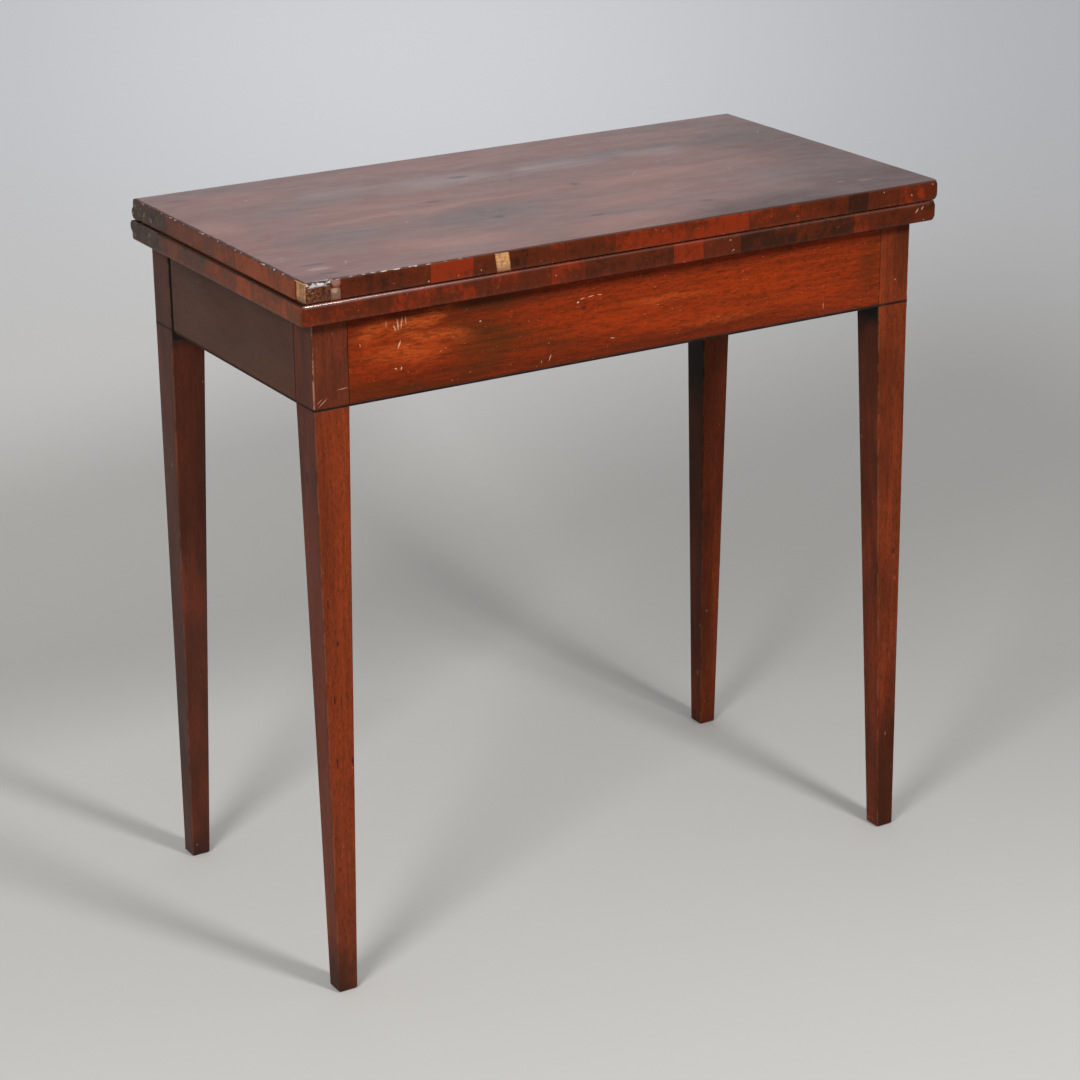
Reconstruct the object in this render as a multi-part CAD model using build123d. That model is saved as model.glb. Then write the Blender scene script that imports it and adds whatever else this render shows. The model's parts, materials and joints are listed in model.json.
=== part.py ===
from build123d import *
import math
import os

os.makedirs("parts", exist_ok=True)

# Whole table, closed: width runs along X, depth along Y, the front looks to -Y
table_height = 740.0
leaf_width = 733.0
leaf_depth = 384.0
leaf_thickness = 20.4
leaf_gap = 1.2
leaf_slip = 2.2

# Make-up of a leaf
show_veneer = 1.0
edge_band = 1.4
hinge_lip = 8.0
border_thickness = 1.4
border_width = 45.0
hinge_border_width = 20.0
baize_sink = 0.3
corner_round = 3.0
knocked_corner = 6.2
arris_round = 1.6
hinge_arris_round = 2.5

# Veneer that has come off the upper leaf's edge
corner_loss_length = 17.0
corner_loss_wrap = 3.2
small_loss_start = 28.0
small_loss_length = 11.0
small_loss_height_share = 0.62
slant_loss_start = 202.0
slant_loss_length = 16.0
slant_loss_lean = 4.5

# Joints of the cross-grained edge veneers, as shares of the edge from its left or front end
upper_front_joint_shares = (0.12, 0.181, 0.244, 0.326, 0.383, 0.416, 0.461, 0.56, 0.675, 0.76, 0.842, 0.876,
                            0.93)
lower_front_joint_shares = (0.124, 0.144, 0.199, 0.249, 0.274, 0.315, 0.362, 0.417, 0.556, 0.604, 0.665, 0.72,
                            0.808, 0.856, 0.882, 0.954)
upper_end_joint_shares = (0.16, 0.373, 0.50, 0.66, 0.79)
lower_end_joint_shares = (0.23, 0.282, 0.36, 0.543, 0.712, 0.777)

# Brass link hinges let into the ends of the leaves
pin_rise = 6.8
pin_inset = 3.4
plate_thickness = 2.4
plate_length = 66.0
plate_width = 18.0
plate_round = 3.0
link_thickness = 2.6
link_side_play = 0.3
link_radius = 5.2
link_end_play = 0.6
knuckle_web = 6.0
knuckle_drop = 10.0
hinge_pin_radius = 2.0
pin_fit = 0.05
pocket_fit = 0.4
hinge_screw_setbacks = (6.0, 44.0)
hinge_screw_drops = (14.2, 6.8)
hinge_screw_head_radius = 3.1
hinge_screw_head_height = 1.9
hinge_screw_radius = 1.7
hinge_screw_length = 18.0

# Screws in general
screw_fit = 0.05
screw_tip_share = 0.25
screw_slot_width = 0.9
screw_slot_depth_share = 0.45

# Frame under the leaves, which stand out past it
end_overhang = 18.0
front_overhang = 19.5
back_overhang = 5.5
frieze_height = 89.5
rail_thickness = 20.0
rail_veneer = 1.2
string_height = 3.0
string_depth = 1.2
leg_top_width = 38.0
leg_foot_width = 21.0
foot_ease = 2.0
swing_leg_gap = 8.0
rail_end_round = 6.0
under_leaf_play = 0.5

# How far age has moved each foot from straight down
front_left_lean = (-2.0, -12.0)
front_right_lean = (6.0, 0.5)
rear_right_lean = (-4.0, 0.5)
swing_leg_lean = (1.0, 5.0)

# Tenons and mortises
tenon_length = 21.0
tenon_thickness = 9.0
tenon_setback = 6.0
tenon_shoulder = 10.0
mortise_spare = 1.0
back_tenon_thickness = 10.0

# Inner back rail, dovetailed to the left side rail and housed in the right one
inner_rail_thickness = 20.0
inner_rail_rise = 3.0
dovetail_lap = 4.0
dovetail_count = 3
dovetail_root_share = 0.46
dovetail_tip_share = 0.70
housing_depth = 6.0

# Outer back rail: a fixed half and a swinging half with a wooden knuckle joint
outer_rail_thickness = 26.0
outer_rail_rise = 6.0
fly_rail_play = 0.4
pivot_from_middle = 9.0
finger_count = 5
finger_play = 0.4
cove_play = 0.5
bevel_play = 0.3
pivot_pin_radius = 3.5
pivot_pin_sink = 1.0

# Screws through the outer back rail
back_screw_length = 36.0
back_screw_radius = 2.4
back_screw_head_radius = 4.6
back_screw_head_height = 3.0
back_screw_count = 2
back_screw_inset = 60.0
back_screw_row_share = 0.25

# Screws that hold the lower leaf down, each in a gouged pocket inside a rail
pocket_screw_length = 37.0
pocket_screw_radius = 2.2
pocket_screw_head_radius = 4.2
pocket_screw_head_height = 2.6
pocket_radius = 6.5
pocket_length = 46.0
pocket_drop = 28.0
pocket_reach = 5.0
pocket_tilt = 15.0
long_rail_screw_shares = (-0.30, 0.05, 0.30)
short_rail_screw_share = 0.12

# Glue blocks rubbed into the angle of rail and leaf
glue_block_side = 22.0
glue_block_length = 58.0
long_rail_block_shares = (-0.38, -0.12, 0.17, 0.39)
short_rail_block_shares = (-0.22, 0.32)

# Cuts run past the piece by this much
overrun = 5.0

# Places worked out from the sizes above
hinge_play = leaf_gap / 2
knuckle_radius = pin_rise - hinge_play
knuckle_proud = knuckle_radius - pin_inset
fold_height = table_height - leaf_thickness - hinge_play
leaf_front = -(leaf_depth + knuckle_proud) / 2
leaf_back = leaf_front + leaf_depth
pin_back = leaf_back - pin_inset
lower_middle = -leaf_slip / 2
upper_middle = leaf_slip / 2
leaf_far = hinge_play + leaf_thickness
slot_width = link_thickness + 2 * link_side_play
slot_outer = (leaf_width - leaf_slip) / 2 - plate_thickness
knuckle_inner = slot_outer - slot_width - plate_thickness

frame_top = fold_height - leaf_far
frame_low = frame_top - frieze_height
frame_left = lower_middle - leaf_width / 2 + end_overhang
frame_right = lower_middle + leaf_width / 2 - end_overhang
frame_front = leaf_front + front_overhang
frame_back = leaf_back - back_overhang
left_rail_back = frame_back - leg_top_width - swing_leg_gap
pivot_x = lower_middle + pivot_from_middle
pivot_y = left_rail_back + outer_rail_thickness / 2
outer_rail_low = frame_low + outer_rail_rise
swing_top = frame_top - under_leaf_play


def block(x_low, x_high, y_low, y_high, z_low, z_high):
    box = Box(x_high - x_low, y_high - y_low, z_high - z_low)
    return Pos((x_low + x_high) / 2, (y_low + y_high) / 2, (z_low + z_high) / 2) * box


def rod(start, direction, radius, length):
    place = Plane(origin=start, z_dir=direction)
    return place * Cylinder(radius, length, align=(Align.CENTER, Align.CENTER, Align.MIN))


def group(shapes):
    return Compound([solid for shape in shapes for solid in shape.solids()])


def rounded_face(a_low, a_high, b_low, b_high, corner_radii):
    face = Pos((a_low + a_high) / 2, (b_low + b_high) / 2) * Rectangle(a_high - a_low, b_high - b_low)
    for (a_side, b_side), radius in corner_radii.items():
        corner = face.vertices().sort_by(lambda v: a_side * v.X + b_side * v.Y)[-1]
        face = fillet(corner, radius)
    return face


def prism(points, low, high):
    face = make_face(Polyline(*points, close=True))
    return Pos(0, 0, low) * extrude(face, high - low)


def wood_screw(seat, direction, radius, length, head_radius, head_height):
    """A slotted countersunk screw whose head's face is at the seat and whose tip lies along direction."""
    place = Plane(origin=seat, z_dir=direction)
    tip = length * screw_tip_share
    outline = [(0, 0), (head_radius, 0), (radius, head_height), (radius, length - tip), (0, length)]
    body = revolve(Plane.XZ * make_face(Polyline(*outline, close=True)), Axis.Z)
    slot_depth = head_height * screw_slot_depth_share
    slot = Pos(0, 0, slot_depth / 2) * Box(head_radius * 2, screw_slot_width, slot_depth)
    return place * (body - slot)


def screw_hole(seat, direction, radius, length, head_radius, head_height):
    place = Plane(origin=seat, z_dir=direction)
    wide = radius + screw_fit
    mouth = head_radius + screw_fit
    outline = [(0, -overrun), (mouth, -overrun), (mouth, 0), (wide, head_height + screw_fit),
               (wide, length + screw_fit), (0, length + screw_fit)]
    return place * revolve(Plane.XZ * make_face(Polyline(*outline, close=True)), Axis.Z)


# One leaf, drawn as the upper one: z is its distance above the plane where the leaves meet
def leaf_block(x_low, x_high, y_low, y_high, near, far):
    return block(x_low, x_high, y_low, y_high, fold_height + near, fold_height + far)


def leaf_envelope(middle):
    """The outer form of a leaf, its corners and arrises rubbed round and its right front corner knocked off."""
    left = middle - leaf_width / 2
    form = leaf_block(left, left + leaf_width, leaf_front, leaf_back, hinge_play, leaf_far)
    form = fillet(form.edges().filter_by(Axis.Z).sort_by(Axis.Y)[:2], corner_round)
    form = fillet(form.edges().filter_by(Axis.Z).sort_by(Axis.Y)[-2:], arris_round)
    form = fillet(form.faces().sort_by(Axis.Z)[-1].edges(), arris_round)
    form = fillet(form.faces().sort_by(Axis.Z)[0].edges(), arris_round)
    round_back = leaf_back - hinge_arris_round
    round_far = hinge_play + hinge_arris_round
    waste = leaf_block(left - overrun, left + leaf_width + overrun, round_back, leaf_back + overrun,
                       hinge_play - overrun, round_far)
    waste -= rod((left - 2 * overrun, round_back, fold_height + round_far), (1, 0, 0),
                 hinge_arris_round, leaf_width + 4 * overrun)
    form -= waste
    step = knocked_corner / 3
    for face, upwards in ((hinge_play, -1), (leaf_far, 1)):
        place = (left + leaf_width - step, leaf_front + step, fold_height + face - upwards * step)
        chip = Box(knocked_corner * 2, knocked_corner * 2, knocked_corner * 2,
                   align=(Align.CENTER, Align.CENTER, Align.MIN))
        form -= Plane(origin=place, z_dir=(1, -1, upwards)) * chip
    return form


def hinge_seat(middle, side):
    """What is cut out of a leaf's end for one hinge plate and its knuckle."""
    end = middle + side * leaf_width / 2
    outer = end + side * overrun
    plate_inner = end - side * plate_thickness
    knuckle_end = side * (knuckle_inner - pocket_fit)
    pocket = leaf_block(min(outer, knuckle_end), max(outer, knuckle_end),
                        pin_back - link_radius - link_end_play - knuckle_web - pocket_fit,
                        leaf_back + overrun, hinge_play - overrun,
                        hinge_play + 2 * knuckle_radius + pocket_fit)
    return strap_outline(outer, plate_inner) + pocket


def strap_outline(x_a, x_b):
    """The long plate of a hinge between two X places, with its front corners rounded."""
    low = fold_height + hinge_play
    face = rounded_face(leaf_back - plate_length, leaf_back, low, low + plate_width, {
        (-1, -1): plate_round, (-1, 1): plate_round, (1, 1): plate_round})
    return extrude(Plane.YZ.offset(min(x_a, x_b)) * face, abs(x_b - x_a))


def ear(x_a, x_b):
    """One cheek of a hinge knuckle: round at the pin, square towards the plate."""
    low, high = min(x_a, x_b), max(x_a, x_b)
    pin_height = fold_height + pin_rise
    eye = rod((low, pin_back, pin_height), (1, 0, 0), knuckle_radius, high - low)
    root = leaf_block(low, high, pin_back - link_radius - link_end_play - knuckle_web, pin_back,
                      hinge_play, hinge_play + knuckle_drop)
    return eye + root


def hinge_screw_places(end, side):
    for setback, drop in zip(hinge_screw_setbacks, hinge_screw_drops):
        yield (end, leaf_back - setback, fold_height + hinge_play + drop), (-side, 0, 0)


def hinge_plate(middle, side, envelope):
    end = middle + side * leaf_width / 2
    strap = strap_outline(end, end - side * plate_thickness) & envelope
    outer_ear = ear(end, side * slot_outer)
    inner_ear = ear(side * (slot_outer - slot_width), side * knuckle_inner)
    web_ends = sorted((side * slot_outer, side * (slot_outer - slot_width)))
    web_front = pin_back - link_radius - link_end_play
    web = leaf_block(*web_ends, web_front - knuckle_web, web_front, hinge_play, hinge_play + knuckle_drop)
    plate = strap + outer_ear + inner_ear + web
    pin_hole = rod((-leaf_width, pin_back, fold_height + pin_rise), (1, 0, 0),
                   hinge_pin_radius + pin_fit, 2 * leaf_width)
    plate -= pin_hole
    for seat, inwards in hinge_screw_places(end, side):
        plate -= screw_hole(seat, inwards, hinge_screw_radius, hinge_screw_length,
                            hinge_screw_head_radius, hinge_screw_head_height)
    return plate


def cut_in_lengths(strip, start, whole, shares, along_x):
    """A veneer strip cut into the short lengths that it was laid in."""
    ends = [start] + [start + whole * share for share in shares] + [start + whole]
    pieces = []
    for low, high in zip(ends, ends[1:]):
        if along_x:
            window = block(low, high, leaf_front - overrun, leaf_back + overrun, 0, 2 * table_height)
        else:
            window = block(-leaf_width, leaf_width, low, high, 0, 2 * table_height)
        pieces.append(strip & window)
    return pieces


def leaf_pieces(middle, top_veneer, front_joint_shares, end_joint_shares, edge_losses):
    """All pieces of one leaf, drawn as the upper leaf around its own middle."""
    left = middle - leaf_width / 2
    right = middle + leaf_width / 2
    inner_left = left + edge_band
    inner_right = right - edge_band
    inner_front = leaf_front + edge_band
    inner_back = leaf_back - hinge_lip
    band_far = leaf_far - top_veneer
    envelope = leaf_envelope(middle)
    seats = hinge_seat(middle, -1) + hinge_seat(middle, 1)

    core = leaf_block(inner_left, inner_right, inner_front, inner_back,
                      hinge_play + border_thickness, band_far) & envelope
    lip = leaf_block(inner_left, inner_right, inner_back, leaf_back, hinge_play, band_far) & envelope
    front = leaf_block(left, right, leaf_front, inner_front, hinge_play, band_far) & envelope
    ends = []
    for low, high in ((left, inner_left), (inner_right, right)):
        end = leaf_block(low, high, inner_front, leaf_back, hinge_play, band_far) & envelope
        ends.append(end - seats)
    for loss in edge_losses:
        front -= loss
        ends = [end - loss for end in ends]

    outer = [(inner_left, inner_front), (inner_right, inner_front),
             (inner_right, inner_back), (inner_left, inner_back)]
    baize_left = inner_left + border_width
    baize_right = inner_right - border_width
    baize_front = inner_front + border_width
    baize_back = inner_back - hinge_border_width
    inner = [(baize_left, baize_front), (baize_right, baize_front),
             (baize_right, baize_back), (baize_left, baize_back)]
    border = []
    for index in range(len(outer)):
        after = (index + 1) % len(outer)
        corners = [outer[index], outer[after], inner[after], inner[index]]
        strip = prism(corners, fold_height + hinge_play, fold_height + hinge_play + border_thickness)
        border.append((strip & envelope) - seats)

    plates = []
    screws = []
    screw_holes = []
    for side in (-1, 1):
        plates.append(hinge_plate(middle, side, envelope))
        for seat, inwards in hinge_screw_places(middle + side * leaf_width / 2, side):
            sizes = (hinge_screw_radius, hinge_screw_length, hinge_screw_head_radius, hinge_screw_head_height)
            screws.append(wood_screw(seat, inwards, *sizes))
            screw_holes.append(screw_hole(seat, inwards, *sizes))
    core -= seats
    lip -= seats
    for hole in screw_holes:
        core -= hole
        lip -= hole

    pieces = {
        "core": core,
        "hinge_lip": lip,
        "front_edge_veneer": group(cut_in_lengths(front, left, leaf_width, front_joint_shares, True)),
        "left_edge_veneer": group(cut_in_lengths(ends[0], leaf_front, leaf_depth, end_joint_shares, False)),
        "right_edge_veneer": group(cut_in_lengths(ends[1], leaf_front, leaf_depth, end_joint_shares, False)),
        "border": group(border),
        "baize": leaf_block(baize_left, baize_right, baize_front, baize_back,
                            hinge_play + baize_sink, hinge_play + border_thickness),
        "hinge_plates": group(plates),
        "hinge_screws": group(screws),
    }
    if top_veneer:
        pieces["top_veneer"] = leaf_block(left, right, leaf_front, leaf_back, band_far, leaf_far) & envelope
    return pieces


# Upper leaf, with the edge veneer that it has lost
upper_left = upper_middle - leaf_width / 2
slant_low = fold_height - overrun
slant_high = table_height + overrun
slant_start = upper_left + slant_loss_start
slant_face = make_face(Polyline(
    (slant_start + slant_loss_lean, slant_low), (slant_start + slant_loss_lean + slant_loss_length, slant_low),
    (slant_start + slant_loss_length, slant_high), (slant_start, slant_high), close=True))
slant_loss = extrude(Plane.XZ.offset(-leaf_front - edge_band) * slant_face, edge_band + overrun)
small_loss = leaf_block(upper_left + small_loss_start, upper_left + small_loss_start + small_loss_length,
                        leaf_front - overrun, leaf_front + edge_band,
                        0, leaf_far * small_loss_height_share)
corner_loss = leaf_block(upper_left - overrun, upper_left + corner_loss_wrap, leaf_front - overrun,
                         leaf_front + corner_loss_length, 0, leaf_far)
pieces = {}
upper = leaf_pieces(upper_middle, show_veneer, upper_front_joint_shares, upper_end_joint_shares,
                    (slant_loss, small_loss, corner_loss))
for name, shape in upper.items():
    pieces["upper_leaf_" + name] = shape

# Lower leaf, the same leaf turned over, without a show veneer
fold_plane = Plane.XY.offset(fold_height)
lower = leaf_pieces(lower_middle, 0, lower_front_joint_shares, lower_end_joint_shares, ())
for name, shape in lower.items():
    pieces["lower_leaf_" + name] = mirror(shape, fold_plane)

# Links and pins that join the hinge plates
links = []
hinge_pins = []
for side in (-1, 1):
    link_outer = side * (slot_outer - link_side_play)
    link_inner = link_outer - side * link_thickness
    low, high = min(link_outer, link_inner), max(link_outer, link_inner)
    link = block(low, high, pin_back - link_radius, pin_back + link_radius,
                 fold_height - pin_rise, fold_height + pin_rise)
    for rise, middle in ((-pin_rise, lower_middle), (pin_rise, upper_middle)):
        centre = (low, pin_back, fold_height + rise)
        link += rod(centre, (1, 0, 0), link_radius, link_thickness)
        end = middle + side * leaf_width / 2
        pin_low, pin_high = sorted((end, side * knuckle_inner))
        start = (pin_low, pin_back, fold_height + rise)
        hinge_pins.append(rod(start, (1, 0, 0), hinge_pin_radius, pin_high - pin_low))
    for rise in (-pin_rise, pin_rise):
        start = (low - overrun, pin_back, fold_height + rise)
        link -= rod(start, (1, 0, 0), hinge_pin_radius + pin_fit, link_thickness + 2 * overrun)
    links.append(link)
pieces["leaf_hinge_links"] = group(links)
pieces["leaf_hinge_pins"] = group(hinge_pins)


# Legs: a square block behind the frieze, then a taper on the two inner faces
def square(x_out, y_out, x_side, y_side, width, height, lean):
    centre_x = x_out - x_side * width / 2 + lean[0]
    centre_y = y_out - y_side * width / 2 + lean[1]
    return Pos(centre_x, centre_y, height) * Rectangle(width, width)


def leg(x_side, y_side, top, lean):
    x_out = frame_right if x_side > 0 else frame_left
    y_out = frame_back if y_side > 0 else frame_front
    straight = (0, 0)
    head = Pos(0, 0, frame_low) * extrude(
        square(x_out, y_out, x_side, y_side, leg_top_width, 0, straight), top - frame_low)
    knee = square(x_out, y_out, x_side, y_side, leg_top_width, frame_low, straight)
    ankle = square(x_out, y_out, x_side, y_side, leg_foot_width, foot_ease, lean)
    eased = (lean[0] - x_side * foot_ease, lean[1] - y_side * foot_ease)
    sole = square(x_out, y_out, x_side, y_side, leg_foot_width - 2 * foot_ease, 0, eased)
    return head + loft([knee, ankle], ruled=True) + loft([ankle, sole], ruled=True)


def leg_string(x_side, y_side, both_faces):
    """The black string round a leg at the bottom of the frieze."""
    x_out = frame_right if x_side > 0 else frame_left
    y_out = frame_back if y_side > 0 else frame_front
    x_in = x_out - x_side * leg_top_width
    y_in = y_out - y_side * leg_top_width
    whole = block(min(x_out, x_in), max(x_out, x_in), min(y_out, y_in), max(y_out, y_in),
                  frame_low, frame_low + string_height)
    x_cut = x_out - x_side * string_depth
    y_cut = y_out - y_side * string_depth if both_faces else y_out + y_side * overrun
    x_past = x_in - x_side * overrun
    y_past = y_in - y_side * overrun
    return whole - block(min(x_cut, x_past), max(x_cut, x_past), min(y_cut, y_past), max(y_cut, y_past),
                         frame_low - overrun, frame_low + string_height + overrun)


front_left_string = leg_string(-1, -1, True)
front_right_string = leg_string(1, -1, True)
rear_right_string = leg_string(1, 1, False)
swing_leg_string = leg_string(-1, 1, False)
front_left_leg = leg(-1, -1, frame_top, front_left_lean) - front_left_string
front_right_leg = leg(1, -1, frame_top, front_right_lean) - front_right_string
rear_right_leg = leg(1, 1, frame_top, rear_right_lean) - rear_right_string
swing_leg = leg(-1, 1, swing_top, swing_leg_lean) - swing_leg_string

# Front rail: a softwood core between the front legs with a veneered face
rail_x_low = frame_left + leg_top_width
rail_x_high = frame_right - leg_top_width
front_rail_back = frame_front + rail_veneer + rail_thickness
tenon_low = frame_low + tenon_shoulder
tenon_high = frame_top - tenon_shoulder
front_tenon_y = frame_front + tenon_setback


def front_tenon(length):
    return block(rail_x_low - length, rail_x_high + length, front_tenon_y,
                 front_tenon_y + tenon_thickness, tenon_low, tenon_high)


front_rail = block(rail_x_low, rail_x_high, frame_front + rail_veneer, front_rail_back,
                   frame_low, frame_top) + front_tenon(tenon_length)
front_rail_veneer = block(rail_x_low, rail_x_high, frame_front, frame_front + rail_veneer,
                          frame_low + string_height, frame_top)
front_rail_string = block(rail_x_low, rail_x_high, frame_front, frame_front + string_depth,
                          frame_low, frame_low + string_height)
front_mortises = front_tenon(tenon_length + mortise_spare)
front_left_leg -= front_mortises
front_right_leg -= front_mortises

# Side rails: the left one stops short of the swing leg, the right one is tenoned at both ends
side_y_low = frame_front + leg_top_width
right_rail_back = frame_back - leg_top_width
left_outline = rounded_face(side_y_low, left_rail_back, frame_low, frame_top, {(1, -1): rail_end_round})
left_rail_body = extrude(Plane.YZ.offset(frame_left) * left_outline, rail_thickness)
right_rail_body = block(frame_right - rail_thickness, frame_right, side_y_low, right_rail_back,
                        frame_low, frame_top)


def side_tenon(x_side, front_length, back_length):
    x_out = frame_right if x_side > 0 else frame_left
    x_near = x_out - x_side * tenon_setback
    x_far = x_near - x_side * tenon_thickness
    back = right_rail_back + back_length if x_side > 0 else left_rail_back - inner_rail_thickness
    return block(min(x_near, x_far), max(x_near, x_far), side_y_low - front_length, back,
                 tenon_low, tenon_high)


def side_string(x_side):
    x_out = frame_right if x_side > 0 else frame_left
    x_in = x_out - x_side * string_depth
    return block(min(x_out, x_in), max(x_out, x_in), side_y_low, right_rail_back,
                 frame_low, frame_low + string_height)


left_rail_string = side_string(-1) & left_rail_body
right_rail_string = side_string(1)
left_side_rail = left_rail_body - left_rail_string + side_tenon(-1, tenon_length, 0)
right_side_rail = right_rail_body - right_rail_string + side_tenon(1, tenon_length, tenon_length)
long_tenon = tenon_length + mortise_spare
front_left_leg -= side_tenon(-1, long_tenon, 0)
front_right_leg -= side_tenon(1, long_tenon, long_tenon)
rear_right_leg -= side_tenon(1, long_tenon, long_tenon)

# Inner back rail
inner_rail_low = frame_low + inner_rail_rise
inner_rail_front = left_rail_back - inner_rail_thickness
left_rail_inner = frame_left + rail_thickness
right_rail_inner = frame_right - rail_thickness
inner_back_rail = block(left_rail_inner, right_rail_inner + housing_depth, inner_rail_front,
                        left_rail_back, inner_rail_low, frame_top)
tail_pitch = (frame_top - inner_rail_low) / dovetail_count
tail_reach = rail_thickness - dovetail_lap
tails = []
for index in range(dovetail_count):
    centre = inner_rail_low + tail_pitch * index + tail_pitch / 2
    root = tail_pitch * dovetail_root_share / 2
    tip = tail_pitch * dovetail_tip_share / 2
    tail_face = make_face(Polyline(
        (left_rail_inner, centre - root), (left_rail_inner, centre + root),
        (left_rail_inner - tail_reach, centre + tip), (left_rail_inner - tail_reach, centre - tip), close=True))
    tails.append(extrude(Plane.XZ.offset(-left_rail_back) * tail_face, inner_rail_thickness))
for tail in tails:
    inner_back_rail += tail
left_side_rail -= inner_back_rail
right_side_rail -= inner_back_rail

# Outer back rail: fixed half, swinging half and the iron pin of their knuckle joint
outer_back = left_rail_back + outer_rail_thickness
fly_front = left_rail_back + fly_rail_play
barrel_radius = outer_rail_thickness / 2 - fly_rail_play
cove_radius = barrel_radius + cove_play
back_tenon_front = pivot_y - back_tenon_thickness / 2
back_tenon_low = outer_rail_low + tenon_shoulder
back_tenon_high = swing_top - tenon_shoulder
finger_pitch = (swing_top - outer_rail_low) / finger_count


def knuckle_rail(x_side, end, front, own_fingers):
    """Half of the outer back rail, from its wooden knuckle to a leg."""
    near = pivot_x + x_side * bevel_play
    corner = pivot_x + x_side * (outer_rail_thickness / 2 + bevel_play)
    plan = [(near, front), (end, front), (end, outer_back), (corner, outer_back), (near, pivot_y)]
    rail = prism(plan, outer_rail_low, swing_top)
    for finger in range(finger_count):
        low = outer_rail_low + finger * finger_pitch
        if finger in own_fingers:
            start = (pivot_x, pivot_y, low + finger_play / 2)
            rail += rod(start, (0, 0, 1), barrel_radius, finger_pitch - finger_play)
        else:
            rail -= rod((pivot_x, pivot_y, low), (0, 0, 1), cove_radius, finger_pitch)
    rail -= rod((pivot_x, pivot_y, outer_rail_low - overrun), (0, 0, 1),
                pivot_pin_radius + pin_fit, swing_top - outer_rail_low + 2 * overrun)
    return rail


def back_tenon(x_side, length):
    root = rail_x_high if x_side > 0 else rail_x_low
    tip = root + x_side * length
    return block(min(root, tip), max(root, tip), back_tenon_front, back_tenon_front + back_tenon_thickness,
                 back_tenon_low, back_tenon_high)


fixed_fingers = range(0, finger_count, 2)
fly_fingers = range(1, finger_count, 2)
fixed_back_rail = knuckle_rail(1, rail_x_high, left_rail_back, fixed_fingers) + back_tenon(1, tenon_length)
fly_rail = knuckle_rail(-1, rail_x_low, fly_front, fly_fingers) + back_tenon(-1, tenon_length)
rear_right_leg -= back_tenon(1, long_tenon)
swing_leg -= back_tenon(-1, long_tenon)
knuckle_pin = rod((pivot_x, pivot_y, outer_rail_low + pivot_pin_sink), (0, 0, 1), pivot_pin_radius,
                  swing_top - outer_rail_low - 2 * pivot_pin_sink)

# Room for the right side rail's tenon and the outer back rail beside it
rear_right_leg -= right_side_rail
rear_right_leg -= fixed_back_rail

# Screws through the fixed half of the outer back rail
back_screws = []
back_screw_first = pivot_x + back_screw_inset
back_screw_last = rail_x_high - back_screw_inset
row_height = swing_top - outer_rail_low
for column in range(back_screw_count):
    across = back_screw_first + (back_screw_last - back_screw_first) * column / (back_screw_count - 1)
    for share in (back_screw_row_share, 1 - back_screw_row_share):
        seat = (across, outer_back, outer_rail_low + row_height * share)
        sizes = (back_screw_radius, back_screw_length, back_screw_head_radius, back_screw_head_height)
        back_screws.append(wood_screw(seat, (0, -1, 0), *sizes))
        hole = screw_hole(seat, (0, -1, 0), *sizes)
        fixed_back_rail -= hole
        inner_back_rail -= hole

# Pocket screws that hold the lower leaf to the rails
tilt_sine = math.sin(math.radians(pocket_tilt))
tilt_cosine = math.cos(math.radians(pocket_tilt))
pocket_screws = []
lower_core = pieces["lower_leaf_core"]
inner_length = rail_x_high - rail_x_low
inner_depth = inner_rail_front - front_rail_back
side_middle = (inner_rail_front + front_rail_back) / 2


def pocket_screw(x_inner, y_inner, outwards):
    """A tilted screw, the hole for its shank and the gouged pocket for its head."""
    head = (x_inner + outwards[0] * pocket_reach, y_inner + outwards[1] * pocket_reach, frame_top - pocket_drop)
    upwards = (outwards[0] * tilt_sine, outwards[1] * tilt_sine, tilt_cosine)
    downwards = (-upwards[0], -upwards[1], -upwards[2])
    fit_radius = pocket_screw_radius + screw_fit
    shank = rod(head, upwards, pocket_screw_radius, pocket_screw_length)
    cap = rod(head, downwards, pocket_screw_head_radius, pocket_screw_head_height)
    hole = rod(head, upwards, fit_radius, pocket_screw_length + screw_fit)
    gouge = rod(head, downwards, pocket_radius, pocket_length)
    return shank + cap, hole, gouge


long_places = [lower_middle + inner_length * share for share in long_rail_screw_shares]
side_place = side_middle + inner_depth * short_rail_screw_share
for place in long_places:
    screw, hole, gouge = pocket_screw(place, front_rail_back, (0, -1))
    front_rail -= gouge + hole
    lower_core -= hole
    pocket_screws.append(screw)
for place in long_places:
    screw, hole, gouge = pocket_screw(place, inner_rail_front, (0, 1))
    inner_back_rail -= gouge + hole
    lower_core -= hole
    pocket_screws.append(screw)
screw, hole, gouge = pocket_screw(left_rail_inner, side_place, (-1, 0))
left_side_rail -= gouge + hole
lower_core -= hole
pocket_screws.append(screw)
screw, hole, gouge = pocket_screw(right_rail_inner, side_place, (1, 0))
right_side_rail -= gouge + hole
lower_core -= hole
pocket_screws.append(screw)
pieces["lower_leaf_core"] = lower_core

# Glue blocks
glue_blocks = []
block_low = frame_top - glue_block_side
for share in long_rail_block_shares:
    x_low = lower_middle + inner_length * share - glue_block_length / 2
    x_high = x_low + glue_block_length
    glue_blocks.append(block(x_low, x_high, front_rail_back, front_rail_back + glue_block_side,
                             block_low, frame_top))
    glue_blocks.append(block(x_low, x_high, inner_rail_front - glue_block_side, inner_rail_front,
                             block_low, frame_top))
for share in short_rail_block_shares:
    y_low = side_middle + inner_depth * share - glue_block_length / 2
    y_high = y_low + glue_block_length
    glue_blocks.append(block(left_rail_inner, left_rail_inner + glue_block_side, y_low, y_high,
                             block_low, frame_top))
    glue_blocks.append(block(right_rail_inner - glue_block_side, right_rail_inner, y_low, y_high,
                             block_low, frame_top))

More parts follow.
